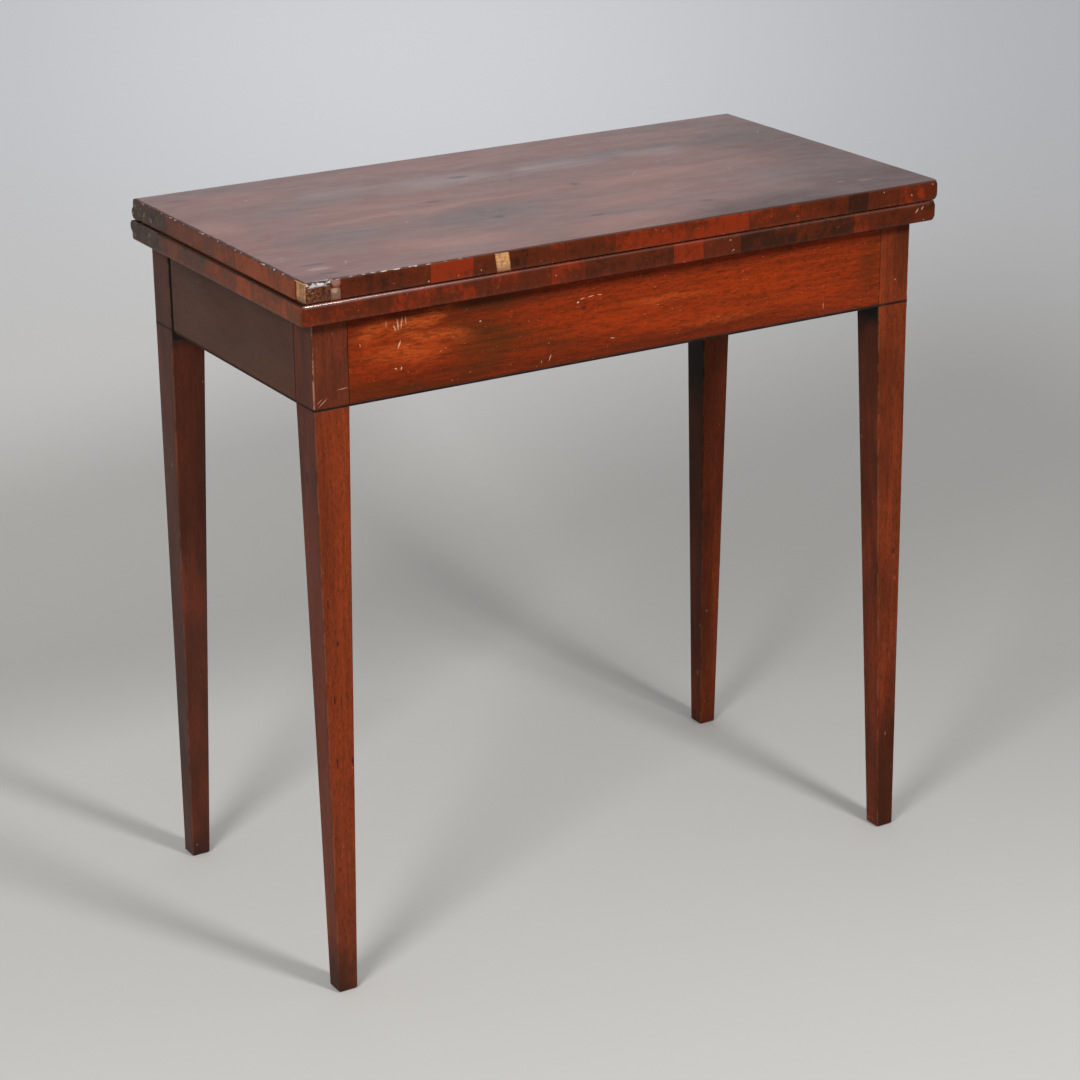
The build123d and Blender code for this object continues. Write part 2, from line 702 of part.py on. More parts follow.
pieces["front_left_leg"] = front_left_leg
pieces["front_right_leg"] = front_right_leg
pieces["rear_right_leg"] = rear_right_leg
pieces["fixed_leg_strings"] = group([front_left_string, front_right_string, rear_right_string])
pieces["front_rail"] = front_rail
pieces["front_rail_veneer"] = front_rail_veneer
pieces["rail_strings"] = group([front_rail_string, left_rail_string, right_rail_string])
pieces["left_side_rail"] = left_side_rail
pieces["right_side_rail"] = right_side_rail
pieces["inner_back_rail"] = inner_back_rail
pieces["fixed_back_rail"] = fixed_back_rail
pieces["knuckle_pin"] = knuckle_pin
pieces["back_rail_screws"] = group(back_screws)
pieces["pocket_screws"] = group(pocket_screws)
pieces["glue_blocks"] = group(glue_blocks)
pieces["fly_rail"] = fly_rail
pieces["swing_leg"] = swing_leg
pieces["swing_leg_string"] = swing_leg_string

for name, shape in pieces.items():
    export_step(shape, "parts/" + name + ".step")
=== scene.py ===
import json
import math

import bmesh
import bpy
from mathutils import Matrix, Vector


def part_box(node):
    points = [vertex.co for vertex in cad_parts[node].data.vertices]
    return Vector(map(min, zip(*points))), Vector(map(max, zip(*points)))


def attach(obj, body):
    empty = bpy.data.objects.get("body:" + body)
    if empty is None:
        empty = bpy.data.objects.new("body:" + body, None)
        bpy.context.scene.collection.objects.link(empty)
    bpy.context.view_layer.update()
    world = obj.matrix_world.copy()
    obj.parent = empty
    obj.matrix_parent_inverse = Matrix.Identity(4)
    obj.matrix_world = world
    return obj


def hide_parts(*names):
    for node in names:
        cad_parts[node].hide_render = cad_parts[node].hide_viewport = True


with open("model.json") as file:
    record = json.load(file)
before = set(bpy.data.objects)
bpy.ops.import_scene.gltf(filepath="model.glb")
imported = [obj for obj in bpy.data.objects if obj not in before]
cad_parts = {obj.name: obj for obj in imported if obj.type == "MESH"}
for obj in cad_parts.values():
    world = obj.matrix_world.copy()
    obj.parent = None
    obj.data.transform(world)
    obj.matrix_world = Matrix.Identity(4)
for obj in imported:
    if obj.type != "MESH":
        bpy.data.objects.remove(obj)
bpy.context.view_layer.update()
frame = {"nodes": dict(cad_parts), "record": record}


# Camera
# It stands to the left in front of the table, above the top, with a long lens, as the photographer did.
# Its place and turn were fitted to the corners of the table in the photo.
camera_place = (-1.5033, -2.5042, 1.4529)
camera_turn = math.radians(-30.97)
camera_tilt = math.radians(-20.58)
camera_roll = math.radians(-0.54)
sensor_width = 36
photo_pixels = 1080
focal_pixels = 2916.44
camera_reach = 50

bpy.ops.object.camera_add()
camera = bpy.context.object
camera.name = "camera"
camera.data.sensor_width = sensor_width
camera.data.lens = focal_pixels / photo_pixels * sensor_width
camera.data.clip_end = camera_reach
camera.matrix_world = (Matrix.Translation(camera_place) @ Matrix.Rotation(camera_turn, 4, "Z")
                       @ Matrix.Rotation(math.pi / 2 + camera_tilt, 4, "X")
                       @ Matrix.Rotation(camera_roll, 4, "Z"))
bpy.context.scene.camera = camera


# Studio
# A pale grey floor runs back and up into a cooler backdrop. A glow is painted on it behind the table, and it
# is painted brighter at the left and darker at the right. It is clear from behind, so that other views see
# the table through it. A soft lamp stands in front, a wider one at the left.
floor_reach = 6.0
cove_start = 1.7
cove_radius = 1.2
cove_steps = 24
wall_height = 4.5
floor_colour = (0.50, 0.490, 0.468)
backdrop_colour = (0.518, 0.527, 0.552)
painted_glow_colour = (0.65, 0.66, 0.69)
painted_left_brightness = 1.16
painted_right_brightness = 0.90
painted_glow_place = (0.67, 1.11, 0.65)
painted_glow_reach = (1.0, 1.0, 0.55)
lamp_target = (0, 0, 0.5)
world_strength = 0.4


def select_only(piece):
    bpy.ops.object.select_all(action="DESELECT")
    piece.select_set(True)
    bpy.context.view_layer.objects.active = piece


def open_for_edit(piece):
    select_only(piece)
    bpy.ops.object.mode_set(mode="EDIT")


def close_edit():
    bpy.ops.object.mode_set(mode="OBJECT")


def pick_edges(test):
    """Select the edges of the mesh in edit mode whose middle and direction pass the test."""
    bpy.ops.mesh.select_mode(type="EDGE")
    bpy.ops.mesh.select_all(action="DESELECT")
    shell = bmesh.from_edit_mesh(bpy.context.object.data)
    for edge in shell.edges:
        start, end = (vertex.co for vertex in edge.verts)
        edge.select_set(test((start + end) / 2, end - start))
    bmesh.update_edit_mesh(bpy.context.object.data)


class Layer:
    """A value that nodes work out at each point. Layers add, subtract, multiply, and | takes the stronger."""

    def __init__(self, finish, socket):
        self.finish = finish
        self.socket = socket

    def __add__(self, other):
        return self.finish.math("ADD", self, other)

    def __sub__(self, other):
        return self.finish.math("SUBTRACT", self, other)

    def __mul__(self, other):
        return self.finish.math("MULTIPLY", self, other)

    def __or__(self, other):
        return self.finish.math("MAXIMUM", self, other)

    def ramp(self, low, high, start=0.0, end=1.0):
        """Turn a value between low and high smoothly into one between start and end."""
        return self.finish.add("ShaderNodeMapRange", (self, low, high, start, end),
                               interpolation_type="SMOOTHSTEP")


class Finish:
    """One material. Its colour is built up by laying one colour over another."""

    def __init__(self, name):
        self.material = bpy.data.materials.new(name)
        self.material.use_nodes = True
        self.tree = self.material.node_tree
        self.shader = self.tree.nodes["Principled BSDF"]
        self.point = self.add("ShaderNodeTexCoord", output="Object")

    def feed(self, socket, value):
        if isinstance(value, Layer):
            self.tree.links.new(value.socket, socket)
        elif socket.type == "RGBA":
            socket.default_value = (*value, 1)
        else:
            socket.default_value = value

    def add(self, kind, values=(), output=0, **settings):
        """Add a node with its inputs, in their order or by name, and return one of its outputs."""
        node = self.tree.nodes.new(kind)
        for setting, value in settings.items():
            setattr(node, setting, value)
        for name, value in values.items() if isinstance(values, dict) else enumerate(values):
            self.feed(node.inputs[name], value)
        return Layer(self, node.outputs[output])

    def math(self, operation, *values):
        return self.add("ShaderNodeMath", values, operation=operation)

    def noise(self, waves, detail=2.0, roughness=0.5, shift=(0, 0, 0)):
        """Noise with so many waves per metre, all ways or along X, Y and Z."""
        waves = waves if isinstance(waves, tuple) else (waves,) * 3
        place = self.add("ShaderNodeMapping", (self.point, shift, (0, 0, 0), waves))
        return self.add("ShaderNodeTexNoise", {"Vector": place, "Scale": 1.0, "Detail": detail,
                                               "Roughness": roughness})

    def mix(self, share, first, second, blend="MIX"):
        return self.add("ShaderNodeMix", {0: share, 6: first, 7: second}, 2, data_type="RGBA",
                        blend_type=blend)

    def lay(self, share, colour, blend="MIX"):
        """Lay a colour over the colour so far, where and as far as the share says."""
        self.colour = self.mix(share, self.colour, colour, blend)

    def along(self, *direction):
        """How far the point lies in a direction, in metres."""
        return self.add("ShaderNodeVectorMath", (self.point, direction), "Value", operation="DOT_PRODUCT")

    def painted(self, name):
        return self.add("ShaderNodeAttribute", output="Fac", attribute_name=name)

    def spot(self, middle, reach, turn=(0, 0, 0), point=None):
        """1 in the middle of an ellipsoid, falling to 0 at its surface."""
        start = point or self.point
        place = self.add("ShaderNodeMapping", (start, middle, turn, reach), vector_type="TEXTURE")
        return self.add("ShaderNodeTexGradient", (place,), 1, gradient_type="SPHERICAL")

    def strongest(self, draw, rows):
        """The strongest of the marks that a function draws from the rows of a table."""
        marks = [draw(*row) for row in rows]
        result = marks[0]
        for mark in marks[1:]:
            result = result | mark
        return result

    def wavering(self, amount, waves):
        """The point, pushed about by noise, so that what is drawn on it gets an uneven outline."""
        noise = self.add("ShaderNodeTexNoise", {"Vector": self.point, "Scale": waves}, 1)
        centred = self.add("ShaderNodeVectorMath", (noise, (0.5, 0.5, 0.5)), operation="SUBTRACT")
        push = self.add("ShaderNodeVectorMath", (centred, (amount,) * 3), operation="MULTIPLY")
        return self.add("ShaderNodeVectorMath", (self.point, push), operation="ADD")

    def done(self, height, roughness, specular=0.5, bump=0.3, relief=0.0002, coat=0.0, coat_roughness=0.1,
             metallic=0.0):
        """Join the layers to the shader: colour, height for the bump, roughness and how much it shines."""
        normal = self.add("ShaderNodeBump", {"Strength": bump, "Distance": relief, "Height": height})
        for name, value in {"Base Color": self.colour, "Roughness": roughness, "Metallic": metallic,
                            "Specular IOR Level": specular, "Coat Weight": coat,
                            "Coat Roughness": coat_roughness, "Normal": normal}.items():
            self.feed(self.shader.inputs[name], value)
        return self.material


bpy.ops.object.select_all(action="DESELECT")
bpy.ops.mesh.primitive_plane_add(size=1)
studio = bpy.context.object
studio.name = "studio"
open_for_edit(studio)
bpy.ops.mesh.select_all(action="SELECT")
bpy.ops.transform.resize(value=(2 * floor_reach, floor_reach + cove_start, 1))
bpy.ops.transform.translate(value=(0, (cove_start - floor_reach) / 2, 0))
pick_edges(lambda middle, way: middle.y > cove_start / 2 and abs(way.x) > floor_reach)
bpy.ops.mesh.extrude_region_move(TRANSFORM_OT_translate={"value": (0, 0, wall_height)})
pick_edges(lambda middle, way: middle.y > cove_start / 2 and middle.z < 0.1 and way.z == 0)
bpy.ops.mesh.bevel(offset=cove_radius, segments=cove_steps)
close_edit()
studio.rotation_euler = (0, 0, camera_turn)
bpy.ops.object.transform_apply(location=True, rotation=True, scale=True)
bpy.ops.object.shade_smooth()


def studio_paper():
    finish = Finish("studio_paper")
    finish.colour = finish.mix(finish.along(0, 0, 1).ramp(0.0, 0.6), floor_colour, backdrop_colour)
    # Painted light: a glow laid on the paper behind the table, and the paper painted brighter at the left and
    # darker at the right.
    finish.lay(finish.spot(painted_glow_place, painted_glow_reach).ramp(0, 0.9), painted_glow_colour)
    across = finish.along(math.cos(camera_turn), math.sin(camera_turn), 0)
    away = finish.along(-math.sin(camera_turn), math.cos(camera_turn), 0)
    finish.lay(away.ramp(-0.4, 0.6), across.ramp(-0.75, 0.75, painted_left_brightness, painted_right_brightness), "MULTIPLY")
    finish.done(finish.noise(400), 0.9, bump=0.05)
    from_behind = (finish.add("ShaderNodeNewGeometry", output="Backfacing")
                   * finish.add("ShaderNodeLightPath", output="Is Camera Ray"))
    clear = finish.add("ShaderNodeBsdfTransparent")
    paper = Layer(finish, finish.shader.outputs[0])
    finish.feed(finish.tree.nodes["Material Output"].inputs["Surface"],
                finish.add("ShaderNodeMixShader", (from_behind, paper, clear)))
    return finish.material


studio.data.materials.append(studio_paper())


def add_lamp(name, place, size, power):
    """A round lamp of so many metres and watts, turned to the middle of the table."""
    bpy.ops.object.light_add(type="AREA", location=place)
    lamp = bpy.context.object
    lamp.name = name
    lamp.data.shape = "DISK"
    lamp.data.size = size
    lamp.data.energy = power
    lamp.rotation_euler = (Vector(lamp_target) - Vector(place)).to_track_quat("-Z", "Y").to_euler()


add_lamp("front_lamp", (0.44, -1.91, 1.96), 0.45, 37)
add_lamp("left_lamp", (-2.15, -1.43, 2.1), 0.9, 52)

world = bpy.data.worlds.new("studio_world")
world.use_nodes = True
world.node_tree.nodes["Background"].inputs["Color"].default_value = (1, 1, 1, 1)
world.node_tree.nodes["Background"].inputs["Strength"].default_value = world_strength
bpy.context.scene.world = world
bpy.context.scene.view_settings.view_transform = "Standard"


# Legs
# Solid mahogany, square beside the frieze and tapered below it on the two inner faces. Age has moved the feet
# a little out of plumb, and the arrises are rubbed and bruised. A rebate round the knee holds the string.
mm = 0.001
leg_top_width = 0.038
leg_foot_width = 0.021
foot_ease = 0.002
leg_arris = 0.0024
arris_profile = 0.72
shaft_cuts = 60
head_cuts = 8
shortest_shaft_edge = 0.3
shortest_head_edge = 0.05
leg_smoothing = 50
leg_wear = 0.0008
string_depth = 0.0012
string_margin = 0.001
frieze_left, frieze_front, frieze_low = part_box("fixed_leg_strings")[0]
frieze_right, frieze_back, string_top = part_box("fixed_leg_strings")[1]
feet = {mount["name"]: Vector(mount["pos_m"]) for mount in frame["record"]["mounts"]}
leg_dark = (0.050, 0.013, 0.005)
leg_middle = (0.164, 0.0255, 0.006)
leg_light = (0.265, 0.039, 0.009)
leg_scar = (0.018, 0.008, 0.005)
leg_grime_and_shade = (0.036, 0.0092, 0.0034)
leg_dust_and_sheen = (0.052, 0.040, 0.037)
leg_shadow_black = (0.005, 0.003, 0.002)
bare_mahogany = (0.42, 0.20, 0.12)
main_arris_rub = 0.9
other_arris_rub = 0.16


def along_grain(axis, lengthwise, crosswise):
    """Waves per metre for a pattern that is drawn out along the grain."""
    return tuple(lengthwise if name == axis else crosswise for name in "XYZ")


def wood_grain(finish, axis, shift):
    """The layers of any mahogany here: broad soft figure, long streaks, short fibres and dark open pores."""
    figure = finish.noise(along_grain(axis, 1.8, 16), 2, shift=shift).ramp(0.36, 0.64)
    streak = finish.noise(along_grain(axis, 8, 240), 3, 0.6, shift).ramp(0.34, 0.68)
    fibre = finish.noise(along_grain(axis, 110, 560), 3, 0.62, shift).ramp(0.36, 0.68)
    pore = finish.noise(along_grain(axis, 210, 1000), 2, shift=shift).ramp(0.58, 0.68)
    return figure, streak, fibre, pore


def stain(finish, axis, shift, dark, middle, light):
    """Polished mahogany: its figure runs between two stains, and streaks, fibres and pores darken it."""
    figure, streak, fibre, pore = wood_grain(finish, axis, shift)
    finish.colour = finish.mix(figure * 0.85, middle, light)
    finish.lay(streak * 0.34 + fibre * 0.36, dark)
    finish.lay(pore * 0.6, dark)
    return streak, fibre, pore


def front_scratches(finish, rows, depth=1, point=None):
    """Oval scratches on the front: place, length and width in millimetres, and tilt in degrees."""
    def scratch(x, z, length, width, tilt=0):
        place, reach = (x * mm, frieze_front, z * mm), (length / 2 * mm, depth, width / 2 * mm)
        return finish.spot(place, reach, (0, math.radians(tilt), 0), point).ramp(0, 0.7)

    return finish.strongest(scratch, rows)


def pick_faces(test):
    """Select the faces of the mesh in edit mode whose middle and normal pass the test."""
    bpy.ops.mesh.select_mode(type="FACE")
    bpy.ops.mesh.select_all(action="DESELECT")
    shell = bmesh.from_edit_mesh(bpy.context.object.data)
    shell.normal_update()
    for face in shell.faces:
        face.select_set(test(face.calc_center_median(), face.normal))
    bmesh.update_edit_mesh(bpy.context.object.data)


def bevel(offset, segments, test, profile=0.5):
    """Round the edges that pass a test."""
    pick_edges(test)
    bpy.ops.mesh.bevel(offset=offset, segments=segments, profile=profile, affect="EDGES")


def divide(cuts, test):
    """Cut the edges that pass a test into shorter ones."""
    pick_edges(test)
    bpy.ops.mesh.subdivide(number_cuts=cuts)


def add_block(name, corner, far_corner):
    """A block between two opposite corners, with its place in its mesh."""
    corner, far_corner = Vector(corner), Vector(far_corner)
    bpy.ops.object.select_all(action="DESELECT")
    bpy.ops.mesh.primitive_cube_add(size=1, location=(corner + far_corner) / 2,
                                    scale=[abs(side) for side in far_corner - corner])
    bpy.ops.object.transform_apply(location=True, rotation=True, scale=True)
    piece = bpy.context.object
    piece.name = name
    piece.data.name = name
    return piece


def paint(piece, name, rule):
    """Give each point of a mesh a value from 0 to 1, by its place and normal, for the material to read."""
    values = piece.data.attributes.new(name, "FLOAT", "POINT").data
    for vertex, value in zip(piece.data.vertices, values):
        value.value = rule(vertex.co, vertex.normal)


def wear(piece, rule, depth, pattern=None, direction="NORMAL"):
    """Rub a mesh down where the rule says, by up to a depth, in an uneven pattern."""
    select_only(piece)
    group = piece.vertex_groups.new(name="worn")
    for vertex in piece.data.vertices:
        weight = rule(vertex.co, vertex.normal)
        if weight > 0:
            group.add([vertex.index], min(weight, 1), "REPLACE")
    modifier = piece.modifiers.new("wear", "DISPLACE")
    modifier.vertex_group = "worn"
    modifier.direction = direction
    modifier.strength = -depth
    modifier.mid_level = 0
    modifier.texture = pattern
    bpy.ops.object.modifier_apply(modifier="wear")
    piece.vertex_groups.clear()


def stand_in(piece, body, node):
    """Let a piece ride with its body in the place of a CAD node."""
    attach(piece, body)
    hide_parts(node)


def clouds(name, size):
    pattern = bpy.data.textures.new(name, "CLOUDS")
    pattern.noise_scale = size
    return pattern


def smooth(piece, degrees=35):
    select_only(piece)
    bpy.ops.object.shade_smooth_by_angle(angle=math.radians(degrees))


def between(value, low, high):
    """0 up to low, 1 from high, in a straight line between them. It falls where high is the smaller."""
    return min(1, max(0, (value - low) / (high - low)))


def corner_share(normal):
    """0 on a face that looks along X or Y, 1 on the upright arris between two of them."""
    across = normal.xy.length
    if across < 0.3:
        return 0
    return between(max(abs(normal.x), abs(normal.y)) / across, 1, math.sqrt(0.5))


def is_upright(middle, way):
    return abs(way.z) > 0.9 * way.length


def leg_mahogany():
    finish = Finish("leg_mahogany")
    fibre, pore = stain(finish, "Z", (0, 0, 0), leg_dark, leg_middle, leg_light)[1:]
    finish.lay(finish.noise((520, 520, 300), 2, shift=(3, 1, 2)).ramp(0.64, 0.72) * 0.7, leg_dark)
    scars = finish.noise((170, 170, 34), 2, shift=(9, 1, 2)).ramp(0.70, 0.74)
    finish.lay(scars * 0.75, leg_scar)
    # Painted shade: the shade value darkens the legs towards grime where they stand in the table's shade, on
    # inner and left faces and under the frieze, and to black high on the inner faces and behind the swing
    # leg's rail. Towards the feet it is partly dirt.
    shade = finish.painted("shade")
    uneven_shade = shade + finish.noise((40, 40, 12), 3).ramp(0.3, 0.7, -0.16, 0.16)
    finish.lay(uneven_shade.ramp(0.05, 0.9) * 0.9, leg_grime_and_shade)
    finish.lay(shade.ramp(0.9, 1), leg_shadow_black)
    # Dust and painted sheen: a grey film over the left faces and parts of the fronts, partly dust and partly
    # the grey reflection of the studio on faces seen at a slant.
    finish.lay(finish.painted("dust"), leg_dust_and_sheen)
    scratches = front_scratches(finish, [
        (-340, 616.5, 16, 1.4, -38), (-343.5, 618, 10, 1, -40), (-318.5, 627, 15, 1.4, -3),
        (330, 635, 3, 2.2, 60)], 0.002)
    finish.lay(scratches * 0.75, bare_mahogany)
    uneven = finish.noise((170, 170, 60), 3, 0.65).ramp(0.41, 0.56)
    nicks = finish.noise((210, 210, 90), 2, shift=(7, 5, 2)).ramp(0.745, 0.765)
    finish.lay(finish.painted("rub") * uneven * 0.85 | nicks * 0.45, bare_mahogany)
    roughness = finish.noise((30, 30, 8), 3).ramp(0.3, 0.7, 0.34, 0.5)
    return finish.done((fibre - (pore + scars)) * -1, roughness, specular=0.08)


leg_wood = leg_mahogany()
leg_bruises = clouds("leg_bruises", 0.012)


def leg_block(name, x_side, y_side, top):
    """Make the square of a leg, from the frieze's lower edge up. It returns the block and its middle."""
    outer = Vector((frieze_right if x_side > 0 else frieze_left,
                    frieze_back if y_side > 0 else frieze_front, frieze_low))
    inner = outer - Vector((x_side * leg_top_width, y_side * leg_top_width, frieze_low - top))
    return add_block(name, outer, inner), (outer + inner) / 2


def bears_string(normal, x_side, y_side):
    """The string runs along the outer side of each knee, and round the front of the front ones."""
    return x_side * normal.x > 0.5 or (y_side < 0 and normal.y < -0.5)


def model_leg(name, body, x_side, y_side, foot_name, shade, dust=lambda place, normal: 0):
    leg, centre = leg_block("finished_" + name, x_side, y_side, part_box(name)[1].z)
    foot = feet["foot_" + foot_name]
    open_for_edit(leg)
    pick_faces(lambda middle, normal: normal.z < -0.9)
    bpy.ops.mesh.extrude_region_move(TRANSFORM_OT_translate={"value": (0, 0, foot_ease - frieze_low)})
    taper = leg_foot_width / leg_top_width
    bpy.ops.transform.resize(value=(taper, taper, 1), center_override=(centre.x, centre.y, foot_ease))
    bpy.ops.transform.translate(value=(foot.x - centre.x, foot.y - centre.y, 0))
    bpy.ops.mesh.extrude_region_move(TRANSFORM_OT_translate={"value": (0, 0, -foot_ease)})
    sole = (leg_foot_width - 2 * foot_ease) / leg_foot_width
    bpy.ops.transform.resize(value=(sole, sole, 1), center_override=(foot.x, foot.y, 0))
    bevel(leg_arris, 4, is_upright, arris_profile)
    divide(shaft_cuts, lambda middle, way: is_upright(middle, way) and way.length > shortest_shaft_edge)
    divide(head_cuts, lambda middle, way: is_upright(middle, way) and middle.z > frieze_low
           and way.length > shortest_head_edge)
    bpy.ops.mesh.select_all(action="SELECT")
    bpy.ops.mesh.bisect(plane_co=(0, 0, string_top), plane_no=(0, 0, 1))
    pick_faces(lambda middle, normal: frieze_low < middle.z < string_top and abs(normal.z) < 0.5
               and bears_string(normal, x_side, y_side))
    bpy.ops.mesh.extrude_region_shrink_fatten(
        TRANSFORM_OT_shrink_fatten={"value": -string_depth, "use_even_offset": True})
    close_edit()

    def worn(place, normal):
        at_string = frieze_low - string_margin < place.z < string_top + string_margin
        return 0 if at_string or place.z < foot_ease / 2 else corner_share(normal)

    wear(leg, worn, leg_wear, leg_bruises)
    main_arris = Vector((frieze_left, frieze_front))

    def rub(place, normal):
        at_main_arris = (place.xy - main_arris).length < 2 * leg_arris and place.z > frieze_low
        return corner_share(normal) * (main_arris_rub if at_main_arris else other_arris_rub)

    paint(leg, "rub", rub)
    paint(leg, "shade", shade)
    paint(leg, "dust", dust)
    smooth(leg, leg_smoothing)
    leg.data.materials.append(leg_wood)
    stand_in(leg, body, name)


# Painted shade for each leg, by height and by the way a face looks: shade under the table and between the
# rails, and partly dirt at the feet.
def front_left_shade(place, normal):
    knee = 0.42 if place.z > frieze_low else 0.12
    if normal.x < -0.5:
        knee = 0.5 * between(place.z, 0.44, 0.54)
    return max(knee, 0.7 * between(place.z, 0.07, 0.02))


# Dust and painted sheen on the front left leg, greyest on its left face.
def front_left_dust_and_sheen(place, normal):
    if normal.x < -0.5:
        return 0.26
    return max(0.12 * between(place.z, 0.25, 0.05), 0.1 * between(place.z, 0.59, 0.62))


def front_right_shade(place, normal):
    if normal.x < -0.5:
        return 0.5 + 0.5 * between(place.z, 0.50, 0.60)
    return max(0.8 * between(place.z, 0.26, 0.10), 0.38 + 0.1 * between(place.z, 0.32, 0.40)
               - 0.06 * between(place.z, 0.48, 0.54))


def rear_right_shade(place, normal):
    return 0.68 + 0.3 * between(place.z, 0.20, 0.45) if normal.x < -0.5 else 0.40


def swing_leg_shade(place, normal):
    if normal.y < -0.5:
        return 1 if place.z > frieze_low - 0.01 else max(0.54, 0.9 * between(place.z, 0.05, 0.01))
    return 0.5


# Dust and painted sheen on the swing leg, greyest on its left face.
def swing_leg_dust_and_sheen(place, normal):
    return 0.55 if normal.x < -0.5 else 0.2


model_leg("front_left_leg", "frame", -1, -1, "front_left", front_left_shade, front_left_dust_and_sheen)
model_leg("front_right_leg", "frame", 1, -1, "front_right", front_right_shade)
model_leg("rear_right_leg", "frame", 1, 1, "rear_right", rear_right_shade)
model_leg("swing_leg", "swing_gate", -1, 1, "swing_leg", swing_leg_shade, swing_leg_dust_and_sheen)


# Black strings round the knees
# A thin line of blackened wood is let into the rebate of each leg, round the corner on the front legs. Its
# upper half has been polished over and is nearly as brown as the leg.
def black_wood():
    finish = Finish("black_string")
    streak = finish.noise((60, 60, 500), 3)
    finish.colour = finish.mix(streak.ramp(0.4, 0.7), (0.008, 0.005, 0.004), (0.030, 0.013, 0.008))
    polished_over = finish.along(0, 0, 1).ramp(string_top - 0.0014, string_top - 0.0004, 0, 0.8)
    finish.lay(polished_over, (0.075, 0.018, 0.008))
    finish.lay(finish.noise(300, 2).ramp(0.68, 0.74), (0.12, 0.05, 0.03))
    return finish.done(streak, 0.5, specular=0.1)


string_wood = black_wood()


def model_string(name, body, node, x_side, y_side):
    string = leg_block(name, x_side, y_side, string_top)[0]
    open_for_edit(string)
    bevel(leg_arris, 4, is_upright, arris_profile)
    pick_faces(lambda middle, normal: abs(normal.z) > 0.5 or not bears_string(normal, x_side, y_side))
    bpy.ops.mesh.delete(type="FACE")
    close_edit()
    thicken = string.modifiers.new("thicken", "SOLIDIFY")
    thicken.thickness = string_depth
    thicken.offset = -1
    bpy.ops.object.modifier_apply(modifier="thicken")
    smooth(string, leg_smoothing)
    string.data.materials.append(string_wood)
    stand_in(string, body, node)


def dress(material, *nodes):
    """Give CAD nodes their material."""
    for node in nodes:
        materials = frame["nodes"][node].data.materials
        materials.clear()
        materials.append(material)


model_string("front_left_knee_string", "frame", "fixed_leg_strings", -1, -1)
model_string("front_right_knee_string", "frame", "fixed_leg_strings", 1, -1)
model_string("rear_right_knee_string", "frame", "fixed_leg_strings", 1, 1)
model_string("swing_leg_knee_string", "swing_gate", "swing_leg_string", -1, 1)
dress(string_wood, "rail_strings")


# Rails of sawn softwood
# The front rail and the inner back rail are planed pine, dry and dusty, as are the glue blocks in their
# angles. Nobody polished them, so saw and plane still show, with yellow early wood and browner late wood.
pine_early = (0.50, 0.32, 0.15)
pine_late = (0.30, 0.15, 0.055)
pine_dirt = (0.12, 0.075, 0.042)


def bare_wood(finish):
    """Planed softwood that was never polished. It sets the colour and returns the height."""
    ring = finish.math("SINE", finish.noise(along_grain("X", 0.9, 9), 2) * 55)
    fibre = finish.noise(along_grain("X", 18, 700), 3)
    finish.colour = finish.mix(ring.ramp(-0.2, 1), pine_early, pine_late)
    finish.lay(fibre.ramp(0.3, 0.8, 0, 0.5), pine_late)
    finish.lay(finish.noise(14, 4, 0.65).ramp(0.5, 0.75) * 0.65, pine_dirt)
    return fibre + finish.noise(along_grain("X", 380, 12), 2)


pine = Finish("rail_pine")
rail_pine = pine.done(bare_wood(pine), 0.82, specular=0.2, bump=0.4)
dress(rail_pine, "front_rail", "inner_back_rail", "glue_blocks")


# Side rails
# One piece of plain mahogany each, tenoned into the legs, darker and duller than the front and brown with old
# wax. The lower front part of the left one is redder.
side_dark = (0.038, 0.0145, 0.008)
side_middle = (0.058, 0.021, 0.011)
side_light = (0.084, 0.028, 0.014)


def side_mahogany():
    finish = Finish("side_mahogany")
    fibre, pore = stain(finish, "Y", (4, 2, 1), side_dark, side_middle, side_light)[1:]
    low_front = finish.spot((frieze_left, frieze_front + 0.06, frieze_low), (0.05, 0.17, 0.055)).ramp(0, 0.6)
    finish.lay(low_front * 0.45, (0.080, 0.027, 0.010))
    marks = finish.noise((200, 90, 200), 2, shift=(1, 8, 3)).ramp(0.74, 0.77)
    finish.lay(marks * 0.35, (0.20, 0.12, 0.08))
    roughness = finish.noise((20, 8, 20), 3).ramp(0.3, 0.7, 0.36, 0.5)
    return finish.done((fibre + pore) * -1, roughness, specular=0.15)


dress(side_mahogany(), "left_side_rail", "right_side_rail")


# Frieze
# Figured mahogany veneer, laid on the front rail between the legs. It is the brightest wood of the table:
# orange-red with golden streaks, an olive shadow left of the middle, fine scratches and specks of bare wood.
frieze_bevel = 0.00035
frieze_dark = (0.045, 0.009, 0.002)
frieze_middle = (0.160, 0.0165, 0.002)
frieze_light = (0.28, 0.029, 0.003)
frieze_gold = (0.38, 0.064, 0.010)
frieze_olive = (0.062, 0.016, 0.003)
frieze_knot = (0.03, 0.012, 0.008)
scratch_colour = (0.60, 0.36, 0.22)


